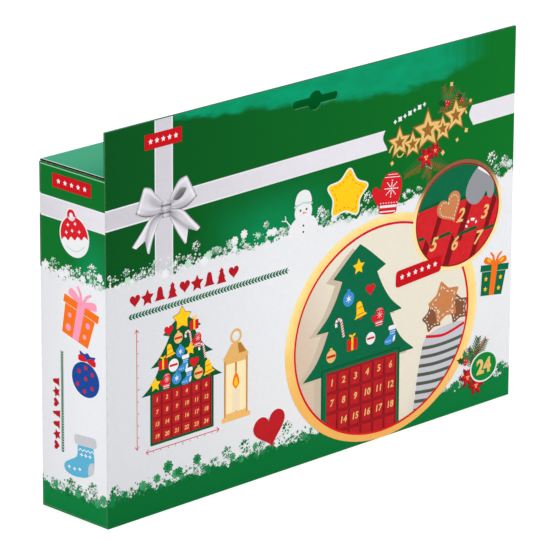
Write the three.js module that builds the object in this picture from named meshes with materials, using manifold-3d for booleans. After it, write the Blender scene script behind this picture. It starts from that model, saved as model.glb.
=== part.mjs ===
// Advent calendar kit: a folded felt calendar and its loose felt ornaments in a printed hanging carton.
// Millimetres, +Z up. The carton stands on z = 0, centred on x = 0 and y = 0, with its printed front
// facing -Y and its lid hinged along the top of the back panel.

import * as THREE from 'three';
import { mergeVertices } from 'three/addons/utils/BufferGeometryUtils.js';
import Module from 'manifold-3d';

const wasm = await Module();
wasm.setup();

// Carton, outside sizes
const cartonWidth = 300;
const cartonDepth = 50;
const bodyHeight = 187;
const headerHeight = 24;
const board = 0.8;

// Clearances
const gap = 0.3;
const lidSideGap = 0.6;
const flapSideGap = 0.9;

// Hanging slot, punched through both layers of the header
const slotLength = 33.4;
const slotArmHeight = 4.7;
const slotCircleDiameter = 10.6;
const slotBelowTop = 12;
const slotOffset = -2.4;

// Lid, tuck flap and top dust flaps
const lidHingeBehindBack = 0.9;
const tuckLength = 14;
const tuckEndInset = 3.5;
const tuckCornerRadius = 9;
const tuckTurnPerLidTurn = 0.38;
const dustFlapLength = 42;
const dustFlapFrontInset = 4;
const dustFlapCornerRadius = 6;
const dustTurnPerLidTurn = 0.36;
const dustTaperMargin = 0.06;

// Glued bottom and seam
const bottomFlapShort = 1;
const bottomDustFlapLength = 24;
const bottomFlapTaper = 5;
const glueFlapWidth = 15;
const glueFlapInset = 6;

// Folded felt calendar
const felt = 1.5;
const packedTopClearance = 3;
const treeSideClearance = 6.4;
const treeBaseHalfWidth = 330;
const treeTopLegs = 3;
const treeTipRadius = 6;
const foldLayerSlack = 0.1;
const pocketRowGap = 4;
const pocketBackOpening = 6;
const legs = 5;
const turnSteps = 8;

// Hanging loop
const loopLength = 34;
const loopWidth = 12;
const ribbonWidth = 3;
const ribbonThickness = 1;

// Loose felt ornaments, standing in stacks in front of the folded calendar
const ornamentThickness = 3;
const ornamentStacks = 4;
const ornamentsPerStack = 5;

// Ornament shapes
const starWidth = 52;
const starWaist = 24;
const heartWidth = 48;
const heartHeight = 46;
const bellWidth = 46;
const bellHeight = 38;
const bellCrown = 8;
const bellClapper = 6;
const firWidth = 44;
const firHeight = 54;
const firTrunkWidth = 9;
const firTrunkHeight = 8;
const stockingWidth = 42;
const stockingHeight = 52;
const stockingLeg = 22;
const mittenWidth = 44;
const mittenHeight = 52;
const mittenPalm = 30;
const mittenThumb = 7;
const caneHeight = 56;
const caneHook = 32;
const caneThickness = 10;
const baubleWidth = 46;
const baubleCapWidth = 12;
const baubleCapHeight = 4;
const houseWidth = 50;
const houseWallHeight = 24;
const houseRoofHeight = 26;
const houseEaves = 4;
const houseChimney = 7;
const giftWidth = 42;
const giftHeight = 34;
const giftBow = 9;
const starPoints = 5;
const firTiers = 3;

// Colours of the print, the bare board and the felt
const printGreen = 0x01642b;
const sideGreen = 0x017c33;
const lidGreen = 0x0a7d4a;
const boardGrey = 0xb9b3a6;
const feltGreen = 0x1c5a2c;
const feltRed = 0xb5121f;
const feltWhite = 0xece8df;
const feltBrown = 0x8a5a34;
const feltGold = 0xe0a93a;
const feltBlue = 0x8cc3de;
const ribbonRed = 0x9c1620;

// Heights that follow from the sizes above
const headerTop = bodyHeight + headerHeight;
const lidUnderside = bodyHeight - board;
const dustFlapTop = lidUnderside - gap;
const wallTop = dustFlapTop;
const floorTop = 3 * board;
const middleFloorTop = 2 * board;

// Inner faces of the carton
const innerSide = cartonWidth / 2 - board;
const innerFront = -cartonDepth / 2 + board;
const innerBack = cartonDepth / 2 - board;
const headerInner = innerFront + board;

const object = new THREE.Group();

function addPiece(name, geometry, color, roughness) {
  const material = new THREE.MeshStandardMaterial({ color, roughness, metalness: 0 });
  const mesh = new THREE.Mesh(geometry, material);
  mesh.name = name;
  object.add(mesh);
  return mesh;
}

function printed(name, geometry, color = printGreen) {
  return addPiece(name, geometry, color, 0.3);
}

function plainBoard(name, geometry) {
  return addPiece(name, geometry, boardGrey, 0.85);
}

function feltPiece(name, geometry, color) {
  return addPiece(name, geometry, color, 0.95);
}

function block(x0, x1, y0, y1, z0, z1) {
  const geometry = new THREE.BoxGeometry(x1 - x0, y1 - y0, z1 - z0);
  geometry.translate((x0 + x1) / 2, (y0 + y1) / 2, (z0 + z1) / 2);
  return geometry;
}

// A flat outline in x and z becomes a sheet between y0 and y1
function uprightSheet(shape, y0, y1) {
  const geometry = new THREE.ExtrudeGeometry(shape, {
    depth: y1 - y0,
    bevelEnabled: false,
    curveSegments: 8,
  });
  geometry.rotateX(Math.PI / 2);
  geometry.translate(0, y1, 0);
  return geometry;
}

// A flat outline in x and y becomes a sheet between z0 and z1
function levelSheet(shape, z0, z1) {
  const geometry = new THREE.ExtrudeGeometry(shape, {
    depth: z1 - z0,
    bevelEnabled: false,
    curveSegments: 8,
  });
  geometry.translate(0, 0, z0);
  return geometry;
}

// A flat outline in y and z becomes a long body between x0 and x1
function crosswiseBody(shape, x0, x1) {
  const geometry = new THREE.ExtrudeGeometry(shape, {
    depth: x1 - x0,
    bevelEnabled: false,
    curveSegments: 8,
  });
  geometry.rotateX(Math.PI / 2);
  geometry.rotateZ(Math.PI / 2);
  geometry.translate(x0, 0, 0);
  return geometry;
}

function polygon(points) {
  return new THREE.Shape(points.map(([x, y]) => new THREE.Vector2(x, y)));
}

function toSolid(geometry) {
  const bare = geometry.clone();
  bare.deleteAttribute('normal');
  bare.deleteAttribute('uv');
  const merged = mergeVertices(bare);
  return new wasm.Manifold(new wasm.Mesh({
    numProp: 3,
    vertProperties: new Float32Array(merged.attributes.position.array),
    triVerts: new Uint32Array(merged.index.array),
  }));
}

function toGeometry(solid) {
  const mesh = solid.getMesh();
  const geometry = new THREE.BufferGeometry();
  geometry.setAttribute('position', new THREE.BufferAttribute(mesh.vertProperties, 3));
  geometry.setIndex(new THREE.BufferAttribute(mesh.triVerts, 1));
  geometry.computeVertexNormals();
  return geometry;
}

// The hanging slot: a round hole with a straight arm with round ends on each side
function slotOutline() {
  const centreZ = headerTop - slotBelowTop;
  const arm = slotArmHeight / 2;
  const circle = slotCircleDiameter / 2;
  const meet = Math.asin(arm / circle);
  const endX = slotLength / 2 - arm;
  const outline = new THREE.Path();
  outline.absarc(slotOffset, centreZ, circle, meet, Math.PI - meet, false);
  outline.absarc(slotOffset - endX, centreZ, arm, Math.PI / 2, 1.5 * Math.PI, false);
  outline.absarc(slotOffset, centreZ, circle, Math.PI + meet, 2 * Math.PI - meet, false);
  outline.absarc(slotOffset + endX, centreZ, arm, -Math.PI / 2, Math.PI / 2, false);
  return outline;
}

function slottedBoard(bottom, top) {
  const half = cartonWidth / 2;
  const shape = polygon([[-half, bottom], [half, bottom], [half, top], [-half, top]]);
  shape.holes.push(slotOutline());
  return shape;
}

function addWalls() {
  const half = cartonWidth / 2;
  const front = -cartonDepth / 2;
  const back = cartonDepth / 2;
  printed('front_panel', uprightSheet(slottedBoard(0, headerTop), front, innerFront));
  const headerBottom = bodyHeight + gap;
  const headerBack = uprightSheet(slottedBoard(headerBottom, headerTop), innerFront, headerInner);
  printed('header_back_layer', headerBack, lidGreen);
  printed('left_side_panel', block(-half, -innerSide, innerFront, innerBack, board, wallTop), sideGreen);
  printed('right_side_panel', block(innerSide, half, innerFront, innerBack, board, wallTop), sideGreen);
  printed('back_panel', block(-half, half, innerBack, back, board, wallTop));
}

function addGlueFlap() {
  const low = floorTop + glueFlapInset;
  const high = wallTop - glueFlapInset;
  const foot = innerBack - glueFlapWidth;
  plainBoard('glue_flap', block(innerSide - board, innerSide, foot, innerBack, low, high));
}

// The bottom flap of the front panel lies outside, the one of the back panel on it,
// and the two side flaps lie inside on top
function addGluedBottom() {
  const half = cartonWidth / 2;
  const back = cartonDepth / 2;
  printed('bottom_outer_flap', block(-half, half, innerFront, back, 0, board));
  const front = innerFront + bottomFlapShort;
  plainBoard('bottom_inner_flap', block(-innerSide, innerSide, front, innerBack, board, middleFloorTop));
  for (const [name, side] of [['left', -1], ['right', 1]]) {
    const root = side * innerSide;
    const tip = side * (innerSide - bottomDustFlapLength);
    const shape = polygon([
      [root, innerFront],
      [tip, innerFront + bottomFlapTaper],
      [tip, innerBack - bottomFlapTaper],
      [root, innerBack],
    ]);
    plainBoard(`bottom_dust_flap_${name}`, levelSheet(shape, middleFloorTop, floorTop));
  }
}

// The lid's underside passes through its hinge line, which lies just behind the back panel,
// so the lid can be folded right over and down against the back
const lidHingeY = cartonDepth / 2 + lidHingeBehindBack;
const lidFrontY = headerInner + gap;
const lidReach = lidHingeY - lidFrontY;

// The tuck flap leans inward just far enough to swing up past the header as the lid opens
const tuckLean = Math.asin(tuckLength * (1 + tuckTurnPerLidTurn) ** 2 / (2 * lidReach));
const tuckInnerReach = tuckLength * Math.sin(tuckLean) + board;

function addLid() {
  const half = cartonWidth / 2 - lidSideGap;
  printed('lid_panel', block(-half, half, lidFrontY, cartonDepth / 2, lidUnderside, bodyHeight), lidGreen);
}

function addTuckFlap() {
  const half = cartonWidth / 2 - lidSideGap - tuckEndInset;
  const radius = Math.min(tuckCornerRadius, tuckLength - board);
  const shape = new THREE.Shape();
  shape.moveTo(half, -gap);
  shape.lineTo(-half, -gap);
  shape.lineTo(-half, radius - tuckLength);
  shape.absarc(radius - half, radius - tuckLength, radius, Math.PI, 1.5 * Math.PI, false);
  shape.absarc(half - radius, radius - tuckLength, radius, 1.5 * Math.PI, 2 * Math.PI, false);
  shape.closePath();
  const geometry = uprightSheet(shape, 0, board);
  geometry.rotateX(tuckLean);
  geometry.translate(0, lidFrontY, lidUnderside);
  printed('lid_tuck_flap', geometry, lidGreen);
}

// The rear edge of each top dust flap tapers, so that the flap stays under the lid as both rise
function addTopDustFlaps() {
  const front = lidFrontY + tuckInnerReach + gap;
  const rear = innerBack - flapSideGap;
  const rearTip = rear - dustFlapLength * (dustTurnPerLidTurn + dustTaperMargin);
  const frontTip = Math.min(front + dustFlapFrontInset, rearTip - 2 * board);
  const radius = Math.min(dustFlapCornerRadius, (rearTip - frontTip) / 3);
  for (const [name, side] of [['left', -1], ['right', 1]]) {
    const at = (reach) => side * (innerSide - gap - reach);
    const shape = new THREE.Shape();
    shape.moveTo(at(0), front);
    shape.lineTo(at(dustFlapLength - radius), frontTip);
    shape.quadraticCurveTo(at(dustFlapLength), frontTip, at(dustFlapLength), frontTip + radius);
    shape.lineTo(at(dustFlapLength), rearTip - radius);
    shape.quadraticCurveTo(at(dustFlapLength), rearTip, at(dustFlapLength - radius), rearTip + radius / 2);
    shape.lineTo(at(0), rear);
    shape.closePath();
    plainBoard(`dust_flap_${name}`, levelSheet(shape, dustFlapTop - board, dustFlapTop));
  }
}

// Folded calendar. Its sheet runs up and down in legs, folded at the top and bottom in turn. The sides
// of the wide legs are folded in behind, so a leg is two layers thick, and only the tree's tip is single.
const doubleFelt = 2 * felt + foldLayerSlack;
const legThickness = [doubleFelt, doubleFelt, doubleFelt, doubleFelt, felt];
const legBottom = floorTop + gap;
const legTop = dustFlapTop - board - packedTopClearance;

// What lies between one leg and the next, at its closest
const rowLayer = felt + gap;
const treeHalfWidth = innerSide - treeSideClearance - rowLayer;
const betweenLegs = [2 * rowLayer + gap, rowLayer + gap, gap, gap];

const ornamentDepth = ornamentsPerStack * (ornamentThickness + gap);
const bundleSolid = 2 * rowLayer
  + legThickness.reduce((sum, thickness) => sum + thickness, 0)
  + betweenLegs.reduce((sum, space) => sum + space, 0)
  + ribbonThickness;
const freeDepth = innerBack - innerFront - ornamentDepth - bundleSolid - 5 * gap;
const legSlack = freeDepth / legs;

const legCentre = [];
let packedFrom = innerFront + gap + ornamentDepth + legSlack + gap + rowLayer;
for (let leg = 0; leg < legs; leg += 1) {
  legCentre.push(packedFrom + legThickness[leg] / 2);
  packedFrom += legThickness[leg] + (betweenLegs[leg] ?? 0) + legSlack;
}

// One side of the folded band, from the first leg's foot to the last leg's tip
function bandSide(side) {
  const points = [];
  const offset = (leg) => side * legThickness[leg] / 2;
  points.push([legCentre[0] + offset(0), legBottom]);
  for (let leg = 0; leg < legs - 1; leg += 1) {
    const up = leg % 2 === 0;
    const turn = (legCentre[leg + 1] - legCentre[leg]) / 2;
    const middle = legCentre[leg] + turn;
    const thickest = Math.max(legThickness[leg], legThickness[leg + 1]) / 2;
    const level = up ? legTop - turn - thickest : legBottom + turn + thickest;
    for (let step = 0; step <= turnSteps; step += 1) {
      const share = step / turnSteps;
      const angle = Math.PI * share;
      const half = (legThickness[leg] * (1 - share) + legThickness[leg + 1] * share) / 2;
      const radius = turn - side * half;
      const rise = (up ? 1 : -1) * radius * Math.sin(angle);
      points.push([middle - radius * Math.cos(angle), level + rise]);
    }
    // The same face of the sheet is on the other side of the next leg
    side = -side;
  }
  points.push([legCentre[legs - 1] + offset(legs - 1), legTop]);
  return points;
}

function addFeltTree() {
  const outline = polygon([...bandSide(-1), ...bandSide(1).reverse()]);
  let solid = toSolid(crosswiseBody(outline, -treeHalfWidth, treeHalfWidth));
  solid = cutToTree(solid);
  feltPiece('felt_tree', toGeometry(solid), feltGreen);
}

// The tree narrows to its tip, so its last two legs are cut to its slanted sides
function cutToTree(solid) {
  const legHeight = legTop - legBottom;
  const slope = treeBaseHalfWidth / (treeTopLegs * legHeight);
  const tipLegFoot = slope * legHeight;
  const outside = treeHalfWidth + felt;
  const fourthFrom = (legCentre[2] + legCentre[3]) / 2;
  const fifthFrom = (legCentre[3] + legCentre[4]) / 2;
  const beyond = innerBack;
  const below = legBottom - gap;
  const above = legTop + gap;
  for (const side of [-1, 1]) {
    const narrowing = polygon([
      [side * outside, below],
      [side * (tipLegFoot - slope * gap), below],
      [side * outside, legBottom + (outside - tipLegFoot) / slope],
    ]);
    const tip = polygon([
      [side * outside, below],
      [side * (tipLegFoot + slope * gap), below],
      [side * treeTipRadius, above],
      [side * outside, above],
    ]);
    solid = solid.subtract(toSolid(uprightSheet(narrowing, fourthFrom, fifthFrom)));
    solid = solid.subtract(toSolid(uprightSheet(tip, fifthFrom, beyond)));
  }
  return solid;
}

// Each pocket row goes round the folded sides of its leg, and its two ends nearly meet behind it
function pocketRow(leg, z0, z1) {
  const facing = leg % 2 === 0 ? -1 : 1;
  const inX = treeHalfWidth + gap;
  const outX = inX + felt;
  const inY = doubleFelt / 2 + gap;
  const outY = inY + felt;
  const end = pocketBackOpening / 2;
  const corners = [
    [-outX, outY], [outX, outY], [outX, -outY], [end, -outY], [end, -inY], [inX, -inY],
    [inX, inY], [-inX, inY], [-inX, -inY], [-end, -inY], [-end, -outY], [-outX, -outY],
  ];
  const shape = polygon(corners.map(([x, y]) => [x, legCentre[leg] + facing * y]));
  return levelSheet(shape, z0, z1);
}

function addPocketRows() {
  const firstTurn = (legCentre[1] - legCentre[0]) / 2 + doubleFelt / 2;
  const secondTurn = (legCentre[2] - legCentre[1]) / 2 + doubleFelt / 2;
  const low = legBottom + secondTurn + pocketRowGap / 2;
  const high = legTop - firstTurn - pocketRowGap / 2;
  const rowHeight = (high - low - pocketRowGap) / 2;
  for (const leg of [0, 1]) {
    for (const place of [0, 1]) {
      const number = leg === 0 ? place + 1 : 4 - place;
      const z0 = low + place * (rowHeight + pocketRowGap);
      feltPiece(`pocket_row_${number}`, pocketRow(leg, z0, z0 + rowHeight), feltRed);
    }
  }
}

// The ribbon loop is sewn to the tip and lies folded down behind it
function addHangingLoop() {
  const outer = loopWidth / 2;
  const inner = outer - ribbonWidth;
  const shape = new THREE.Shape();
  shape.moveTo(outer, legTop);
  shape.lineTo(-outer, legTop);
  shape.lineTo(-outer, legTop - loopLength + outer);
  shape.absarc(0, legTop - loopLength + outer, outer, Math.PI, 2 * Math.PI, false);
  shape.closePath();
  const eye = new THREE.Path();
  eye.moveTo(inner, legTop - ribbonWidth);
  eye.lineTo(inner, legTop - loopLength + outer);
  eye.absarc(0, legTop - loopLength + outer, inner, 0, -Math.PI, true);
  eye.lineTo(-inner, legTop - ribbonWidth);
  eye.closePath();
  shape.holes.push(eye);
  const front = legCentre[legs - 1] + felt / 2 + gap;
  addPiece('hanging_loop', uprightSheet(shape, front, front + ribbonThickness), ribbonRed, 0.6);
}

// Outlines of the ornaments, each about x = 0

function starOutline() {
  const corners = [];
  for (let corner = 0; corner < 2 * starPoints; corner += 1) {
    const radius = (corner % 2 === 0 ? starWidth : starWaist) / 2;
    const angle = Math.PI / 2 + Math.PI * corner / starPoints;
    corners.push([radius * Math.cos(angle), radius * Math.sin(angle)]);
  }
  return polygon(corners);
}

function heartOutline() {
  const lobe = heartWidth / 4;
  const side = 2 * lobe;
  const level = heartHeight - lobe;
  const shape = new THREE.Shape();
  shape.moveTo(0, 0);
  shape.bezierCurveTo(lobe, lobe, side, heartHeight / 2, side, level);
  shape.absarc(lobe, level, lobe, 0, Math.PI, false);
  shape.absarc(-lobe, level, lobe, 0, Math.PI, false);
  shape.bezierCurveTo(-side, heartHeight / 2, -lobe, lobe, 0, 0);
  return shape;
}

function bellOutline() {
  const half = bellWidth / 2;
  const waist = bellCrown * 1.5;
  const rim = bellHeight / 4;
  const shape = new THREE.Shape();
  shape.moveTo(-bellClapper, 0);
  shape.absarc(0, 0, bellClapper, Math.PI, 2 * Math.PI, false);
  shape.lineTo(half, 0);
  shape.bezierCurveTo(half - bellCrown, rim, waist, 2 * rim, bellCrown, bellHeight);
  shape.absarc(0, bellHeight, bellCrown, 0, Math.PI, false);
  shape.bezierCurveTo(-waist, 2 * rim, bellCrown - half, rim, -half, 0);
  shape.closePath();
  return shape;
}

function firOutline() {
  const right = [[firTrunkWidth / 2, 0], [firTrunkWidth / 2, firTrunkHeight]];
  const tierHeight = (firHeight - firTrunkHeight) / firTiers;
  for (let tier = 0; tier < firTiers; tier += 1) {
    const reach = firWidth / 2 * (1 - tier / (firTiers + 1));
    const level = firTrunkHeight + tier * tierHeight;
    right.push([reach, level]);
    right.push([tier === firTiers - 1 ? 0 : reach / 2, level + tierHeight]);
  }
  const left = right.slice(0, -1).reverse().map(([x, y]) => [-x, y]);
  return polygon([...right, ...left]);
}

function stockingOutline() {
  const sole = stockingLeg / 2;
  const heel = -stockingWidth / 2;
  const shin = heel + stockingLeg;
  const toe = stockingWidth / 2 - sole;
  const shape = new THREE.Shape();
  shape.moveTo(heel + sole, 0);
  shape.lineTo(toe, 0);
  shape.absarc(toe, sole, sole, -Math.PI / 2, Math.PI / 2, false);
  shape.quadraticCurveTo(shin, stockingLeg, shin, stockingLeg * 1.5);
  shape.lineTo(shin, stockingHeight);
  shape.lineTo(heel, stockingHeight);
  shape.lineTo(heel, sole);
  shape.absarc(heel + sole, sole, sole, Math.PI, 1.5 * Math.PI, false);
  return shape;
}

function mittenOutline() {
  const left = -mittenWidth / 2;
  const right = left + mittenPalm;
  const middle = mittenHeight / 2;
  const tips = mittenPalm / 2;
  const shape = new THREE.Shape();
  shape.moveTo(left, 0);
  shape.lineTo(right, 0);
  shape.lineTo(right, middle - mittenThumb * 1.5);
  shape.absarc(mittenWidth / 2 - mittenThumb, middle, mittenThumb, -Math.PI / 4, 0.75 * Math.PI, false);
  shape.lineTo(right, middle + mittenThumb / 2);
  shape.absarc(left + tips, mittenHeight - tips, tips, 0, Math.PI, false);
  shape.closePath();
  return shape;
}

function caneOutline() {
  const outer = caneHook / 2;
  const inner = outer - caneThickness;
  const bend = caneHeight - outer;
  const end = bend - caneThickness;
  const shape = new THREE.Shape();
  shape.moveTo(inner, 0);
  shape.lineTo(outer, 0);
  shape.absarc(0, bend, outer, 0, Math.PI, false);
  shape.absarc(caneThickness / 2 - outer, end, caneThickness / 2, Math.PI, 2 * Math.PI, false);
  shape.absarc(0, bend, inner, Math.PI, 0, true);
  shape.closePath();
  return shape;
}

function baubleOutline() {
  const radius = baubleWidth / 2;
  const meet = Math.acos(baubleCapWidth / baubleWidth);
  const capTop = baubleWidth + baubleCapHeight;
  const shape = new THREE.Shape();
  shape.absarc(0, radius, radius, Math.PI - meet, 2 * Math.PI + meet, false);
  shape.lineTo(baubleCapWidth / 2, capTop);
  shape.lineTo(-baubleCapWidth / 2, capTop);
  shape.closePath();
  return shape;
}

function houseOutline() {
  const half = houseWidth / 2;
  const wall = half - houseEaves;
  const ridge = houseWallHeight + houseRoofHeight;
  const pitch = houseRoofHeight / half;
  const left = (houseChimney - 2 * wall) / 2;
  const right = left + houseChimney;
  return polygon([
    [-wall, 0], [wall, 0], [wall, houseWallHeight], [half, houseWallHeight], [0, ridge],
    [right, ridge + right * pitch], [right, ridge], [left, ridge], [left, ridge + left * pitch],
    [-half, houseWallHeight], [-wall, houseWallHeight],
  ]);
}

function giftOutline() {
  const half = giftWidth / 2;
  const knot = giftHeight + giftBow;
  const lobe = giftBow * 0.75;
  const shape = new THREE.Shape();
  shape.moveTo(-half, 0);
  shape.lineTo(half, 0);
  shape.lineTo(half, giftHeight);
  shape.lineTo(giftBow / 2, giftHeight);
  shape.absarc(giftBow, knot, lobe, -0.75 * Math.PI, 0.75 * Math.PI, false);
  shape.lineTo(0, knot - giftBow * 0.4);
  shape.absarc(-giftBow, knot, lobe, 0.25 * Math.PI, 1.75 * Math.PI, false);
  shape.lineTo(-giftBow / 2, giftHeight);
  shape.lineTo(-half, giftHeight);
  shape.closePath();
  return shape;
}

const ornaments = [
  ['star', starOutline(), [feltGold, feltRed]],
  ['heart', heartOutline(), [feltRed, feltWhite]],
  ['bell', bellOutline(), [feltGold, feltRed]],
  ['fir', firOutline(), [feltGreen, feltWhite]],
  ['stocking', stockingOutline(), [feltRed, feltBlue]],
  ['mitten', mittenOutline(), [feltWhite, feltRed]],
  ['cane', caneOutline(), [feltRed, feltWhite]],
  ['bauble', baubleOutline(), [feltBlue, feltGold]],
  ['house', houseOutline(), [feltBrown, feltRed]],
  ['gift', giftOutline(), [feltGreen, feltGold]],
];

// The stacks stand between the bottom dust flaps, on the flap below them
function addOrnaments() {
  const sheets = ornaments.map(([, shape]) => {
    const sheet = uprightSheet(shape, 0, ornamentThickness);
    sheet.computeBoundingBox();
    return sheet;
  });
  const pitch = 2 * (innerSide - bottomDustFlapLength) / ornamentStacks;
  let count = 0;
  for (const copy of [0, 1]) {
    ornaments.forEach(([name, , colors], kind) => {
      const stack = count % ornamentStacks;
      const layer = Math.floor(count / ornamentStacks);
      const { min, max } = sheets[kind].boundingBox;
      const x = (stack - (ornamentStacks - 1) / 2) * pitch - (min.x + max.x) / 2;
      const y = innerFront + legSlack + gap + layer * (ornamentThickness + gap);
      const geometry = sheets[kind].clone();
      geometry.translate(x, y, middleFloorTop + gap - min.z);
      feltPiece(`felt_${name}_${copy + 1}`, geometry, colors[copy]);
      count += 1;
    });
  }
}

addWalls();
addGlueFlap();
addGluedBottom();
addLid();
addTuckFlap();
addTopDustFlaps();
addFeltTree();
addPocketRows();
addHangingLoop();
addOrnaments();

export default object;
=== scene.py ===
"""Looks of a felt advent calendar kit: the printed carton, and the folded calendar and ornaments in it.

Outlines are drawn in millimetres on the flat faces of the carton, seen from outside, and then placed
in metres. Every print is a thin layer of ink on the board.
"""

import math
import random

import bmesh
import bpy
from mathutils import Matrix, Vector


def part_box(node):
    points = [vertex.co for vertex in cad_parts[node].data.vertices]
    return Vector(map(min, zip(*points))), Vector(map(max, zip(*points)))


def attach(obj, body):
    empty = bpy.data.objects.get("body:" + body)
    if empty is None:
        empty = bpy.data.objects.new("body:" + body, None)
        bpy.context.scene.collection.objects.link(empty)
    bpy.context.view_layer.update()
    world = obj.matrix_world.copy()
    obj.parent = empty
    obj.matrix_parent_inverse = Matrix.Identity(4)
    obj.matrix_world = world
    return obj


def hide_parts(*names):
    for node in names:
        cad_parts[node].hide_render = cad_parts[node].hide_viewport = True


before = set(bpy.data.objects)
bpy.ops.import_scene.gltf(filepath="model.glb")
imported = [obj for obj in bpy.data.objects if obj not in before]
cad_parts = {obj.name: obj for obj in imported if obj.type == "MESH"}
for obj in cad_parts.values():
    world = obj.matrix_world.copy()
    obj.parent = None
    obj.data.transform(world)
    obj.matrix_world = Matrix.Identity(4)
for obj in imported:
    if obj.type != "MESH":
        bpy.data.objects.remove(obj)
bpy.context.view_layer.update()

MM = 0.001

# Carton, as in the CAD
CARTON_WIDTH = 300
CARTON_DEPTH = 50
BODY_HEIGHT = 187
WALL_TOP = 185.9
CARTON_HEIGHT = 211
BOARD = 0.8
HALF_WIDTH = CARTON_WIDTH / 2
HALF_DEPTH = CARTON_DEPTH / 2
HEADER_BACK = 1.6

# One level of ink is this thick, and a shape on level 3 stands three levels above the board.
# Shapes on one level differ by a fraction of it, so that no two faces coincide
INK = 0.018
INK_STEPS = 9

# Each face: its lower left corner, the way across it and the way up it, all as seen from outside
FACES = {
    "front": ((-HALF_WIDTH, -HALF_DEPTH, 0), (1, 0, 0), (0, 0, 1)),
    "left": ((-HALF_WIDTH, HALF_DEPTH, 0), (0, -1, 0), (0, 0, 1)),
    "right": ((HALF_WIDTH, -HALF_DEPTH, 0), (0, 1, 0), (0, 0, 1)),
    "back": ((HALF_WIDTH, HALF_DEPTH, 0), (-1, 0, 0), (0, 0, 1)),
}


def face_axes(face):
    """The face's corner, across, up and outward directions."""
    corner, across, up = (Vector(part) for part in FACES[face])
    return corner, across, up, across.cross(up)


def face_matrix(face):
    """Turns a drawing on the flat, in metres, onto a face of the carton."""
    corner, across, up, outward = face_axes(face)
    matrix = Matrix((across, up, outward)).transposed().to_4x4()
    matrix.translation = corner * MM
    return matrix


# Selecting, joining and colouring


def pick(*objects):
    bpy.ops.object.select_all(action="DESELECT")
    for item in objects:
        item.select_set(True)
    bpy.context.view_layer.objects.active = objects[0]


def placed_object(name, data, place):
    part = bpy.data.objects.new(name, data)
    bpy.context.scene.collection.objects.link(part)
    part.matrix_world = place
    return part


def edit_mesh(mesh, change):
    """Makes a change to a mesh's faces and points."""
    shell = bmesh.new()
    shell.from_mesh(mesh)
    change(shell)
    shell.to_mesh(mesh)
    shell.free()


def merge_points(mesh):
    """Joins the loose sheets that a converted curve is made of into one closed skin."""
    edit_mesh(mesh, lambda shell: bmesh.ops.remove_doubles(shell, verts=shell.verts, dist=1e-7))


def converted(part):
    """A curve made into a closed mesh."""
    pick(part)
    bpy.ops.object.convert(target="MESH")
    part = bpy.context.object
    merge_points(part.data)
    return part


def smoothed(part):
    pick(part)
    bpy.ops.object.shade_smooth_by_angle(angle=math.radians(40))


def joined(name, parts):
    pick(*parts)
    if len(parts) > 1:
        bpy.ops.object.join()
    piece = bpy.context.view_layer.objects.active
    piece.name = name
    piece.data.name = name
    return piece


def colour_with(data, material):
    """Gives a mesh or a curve one material in place of any others."""
    data.materials.clear()
    data.materials.append(material)


# Camera and studio

CAMERA_AZIMUTH = -44.52
CAMERA_ELEVATION = 18.144
CAMERA_ROLL = 0.3
CAMERA_DISTANCE = 2.4324
CAMERA_TARGET = (-0.0278, -0.025, 0.1067)
CAMERA_LENS = 299.9
CAMERA_REACH = 50
FLOOR_SIZE = 14
LIGHTS_AIM = (0, 0, 0.1)

# Each light: its place and width in metres, and its watts
SOFTBOXES = {
    "left_softbox": ((-2.6, -1.2, 1.9), 1.6, 36),
    "front_softbox": ((0.9, -2.9, 1.7), 1.6, 22),
    "top_softbox": ((0.3, 0.6, 3), 2, 20),
}


def make_camera():
    azimuth = math.radians(CAMERA_AZIMUTH)
    elevation = math.radians(CAMERA_ELEVATION)
    back = Vector((
        math.sin(azimuth) * math.cos(elevation),
        -math.cos(azimuth) * math.cos(elevation),
        math.sin(elevation),
    ))
    data = bpy.data.cameras.new("camera")
    data.lens = CAMERA_LENS
    data.clip_end = CAMERA_REACH
    camera = placed_object("camera", data, Matrix.Identity(4))
    camera.location = Vector(CAMERA_TARGET) + back * CAMERA_DISTANCE
    level = (-back).to_track_quat("-Z", "Y").to_matrix()
    tilt = Matrix.Rotation(math.radians(CAMERA_ROLL), 3, "Z")
    camera.rotation_euler = (level @ tilt).to_euler()
    bpy.context.scene.camera = camera


def seen_straight_or_mirrored(tree):
    """1 for a ray from the camera, in a mirror or through glass, and 0 for light on the object."""
    path = tree.nodes.new("ShaderNodeLightPath")
    total = path.outputs["Is Camera Ray"]
    for kind in ("Is Glossy Ray", "Is Transmission Ray"):
        add = tree.nodes.new("ShaderNodeMath")
        add.operation = "MAXIMUM"
        tree.links.new(total, add.inputs[0])
        tree.links.new(path.outputs[kind], add.inputs[1])
        total = add.outputs[0]
    return total


def lit_or_seen(tree, socket, lighting, looking):
    """Feeds a socket one value for light on the object, and another one for looking."""
    level = tree.nodes.new("ShaderNodeMapRange")
    level.inputs["To Min"].default_value = lighting
    level.inputs["To Max"].default_value = looking
    tree.links.new(seen_straight_or_mirrored(tree), level.inputs["Value"])
    tree.links.new(level.outputs["Result"], socket)


def make_world():
    world = bpy.data.worlds.new("studio")
    world.use_nodes = True
    background = world.node_tree.nodes["Background"]
    background.inputs["Color"].default_value = (1, 1, 1, 1)
    lit_or_seen(world.node_tree, background.inputs["Strength"], 0.66, 1)
    bpy.context.scene.world = world


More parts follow.
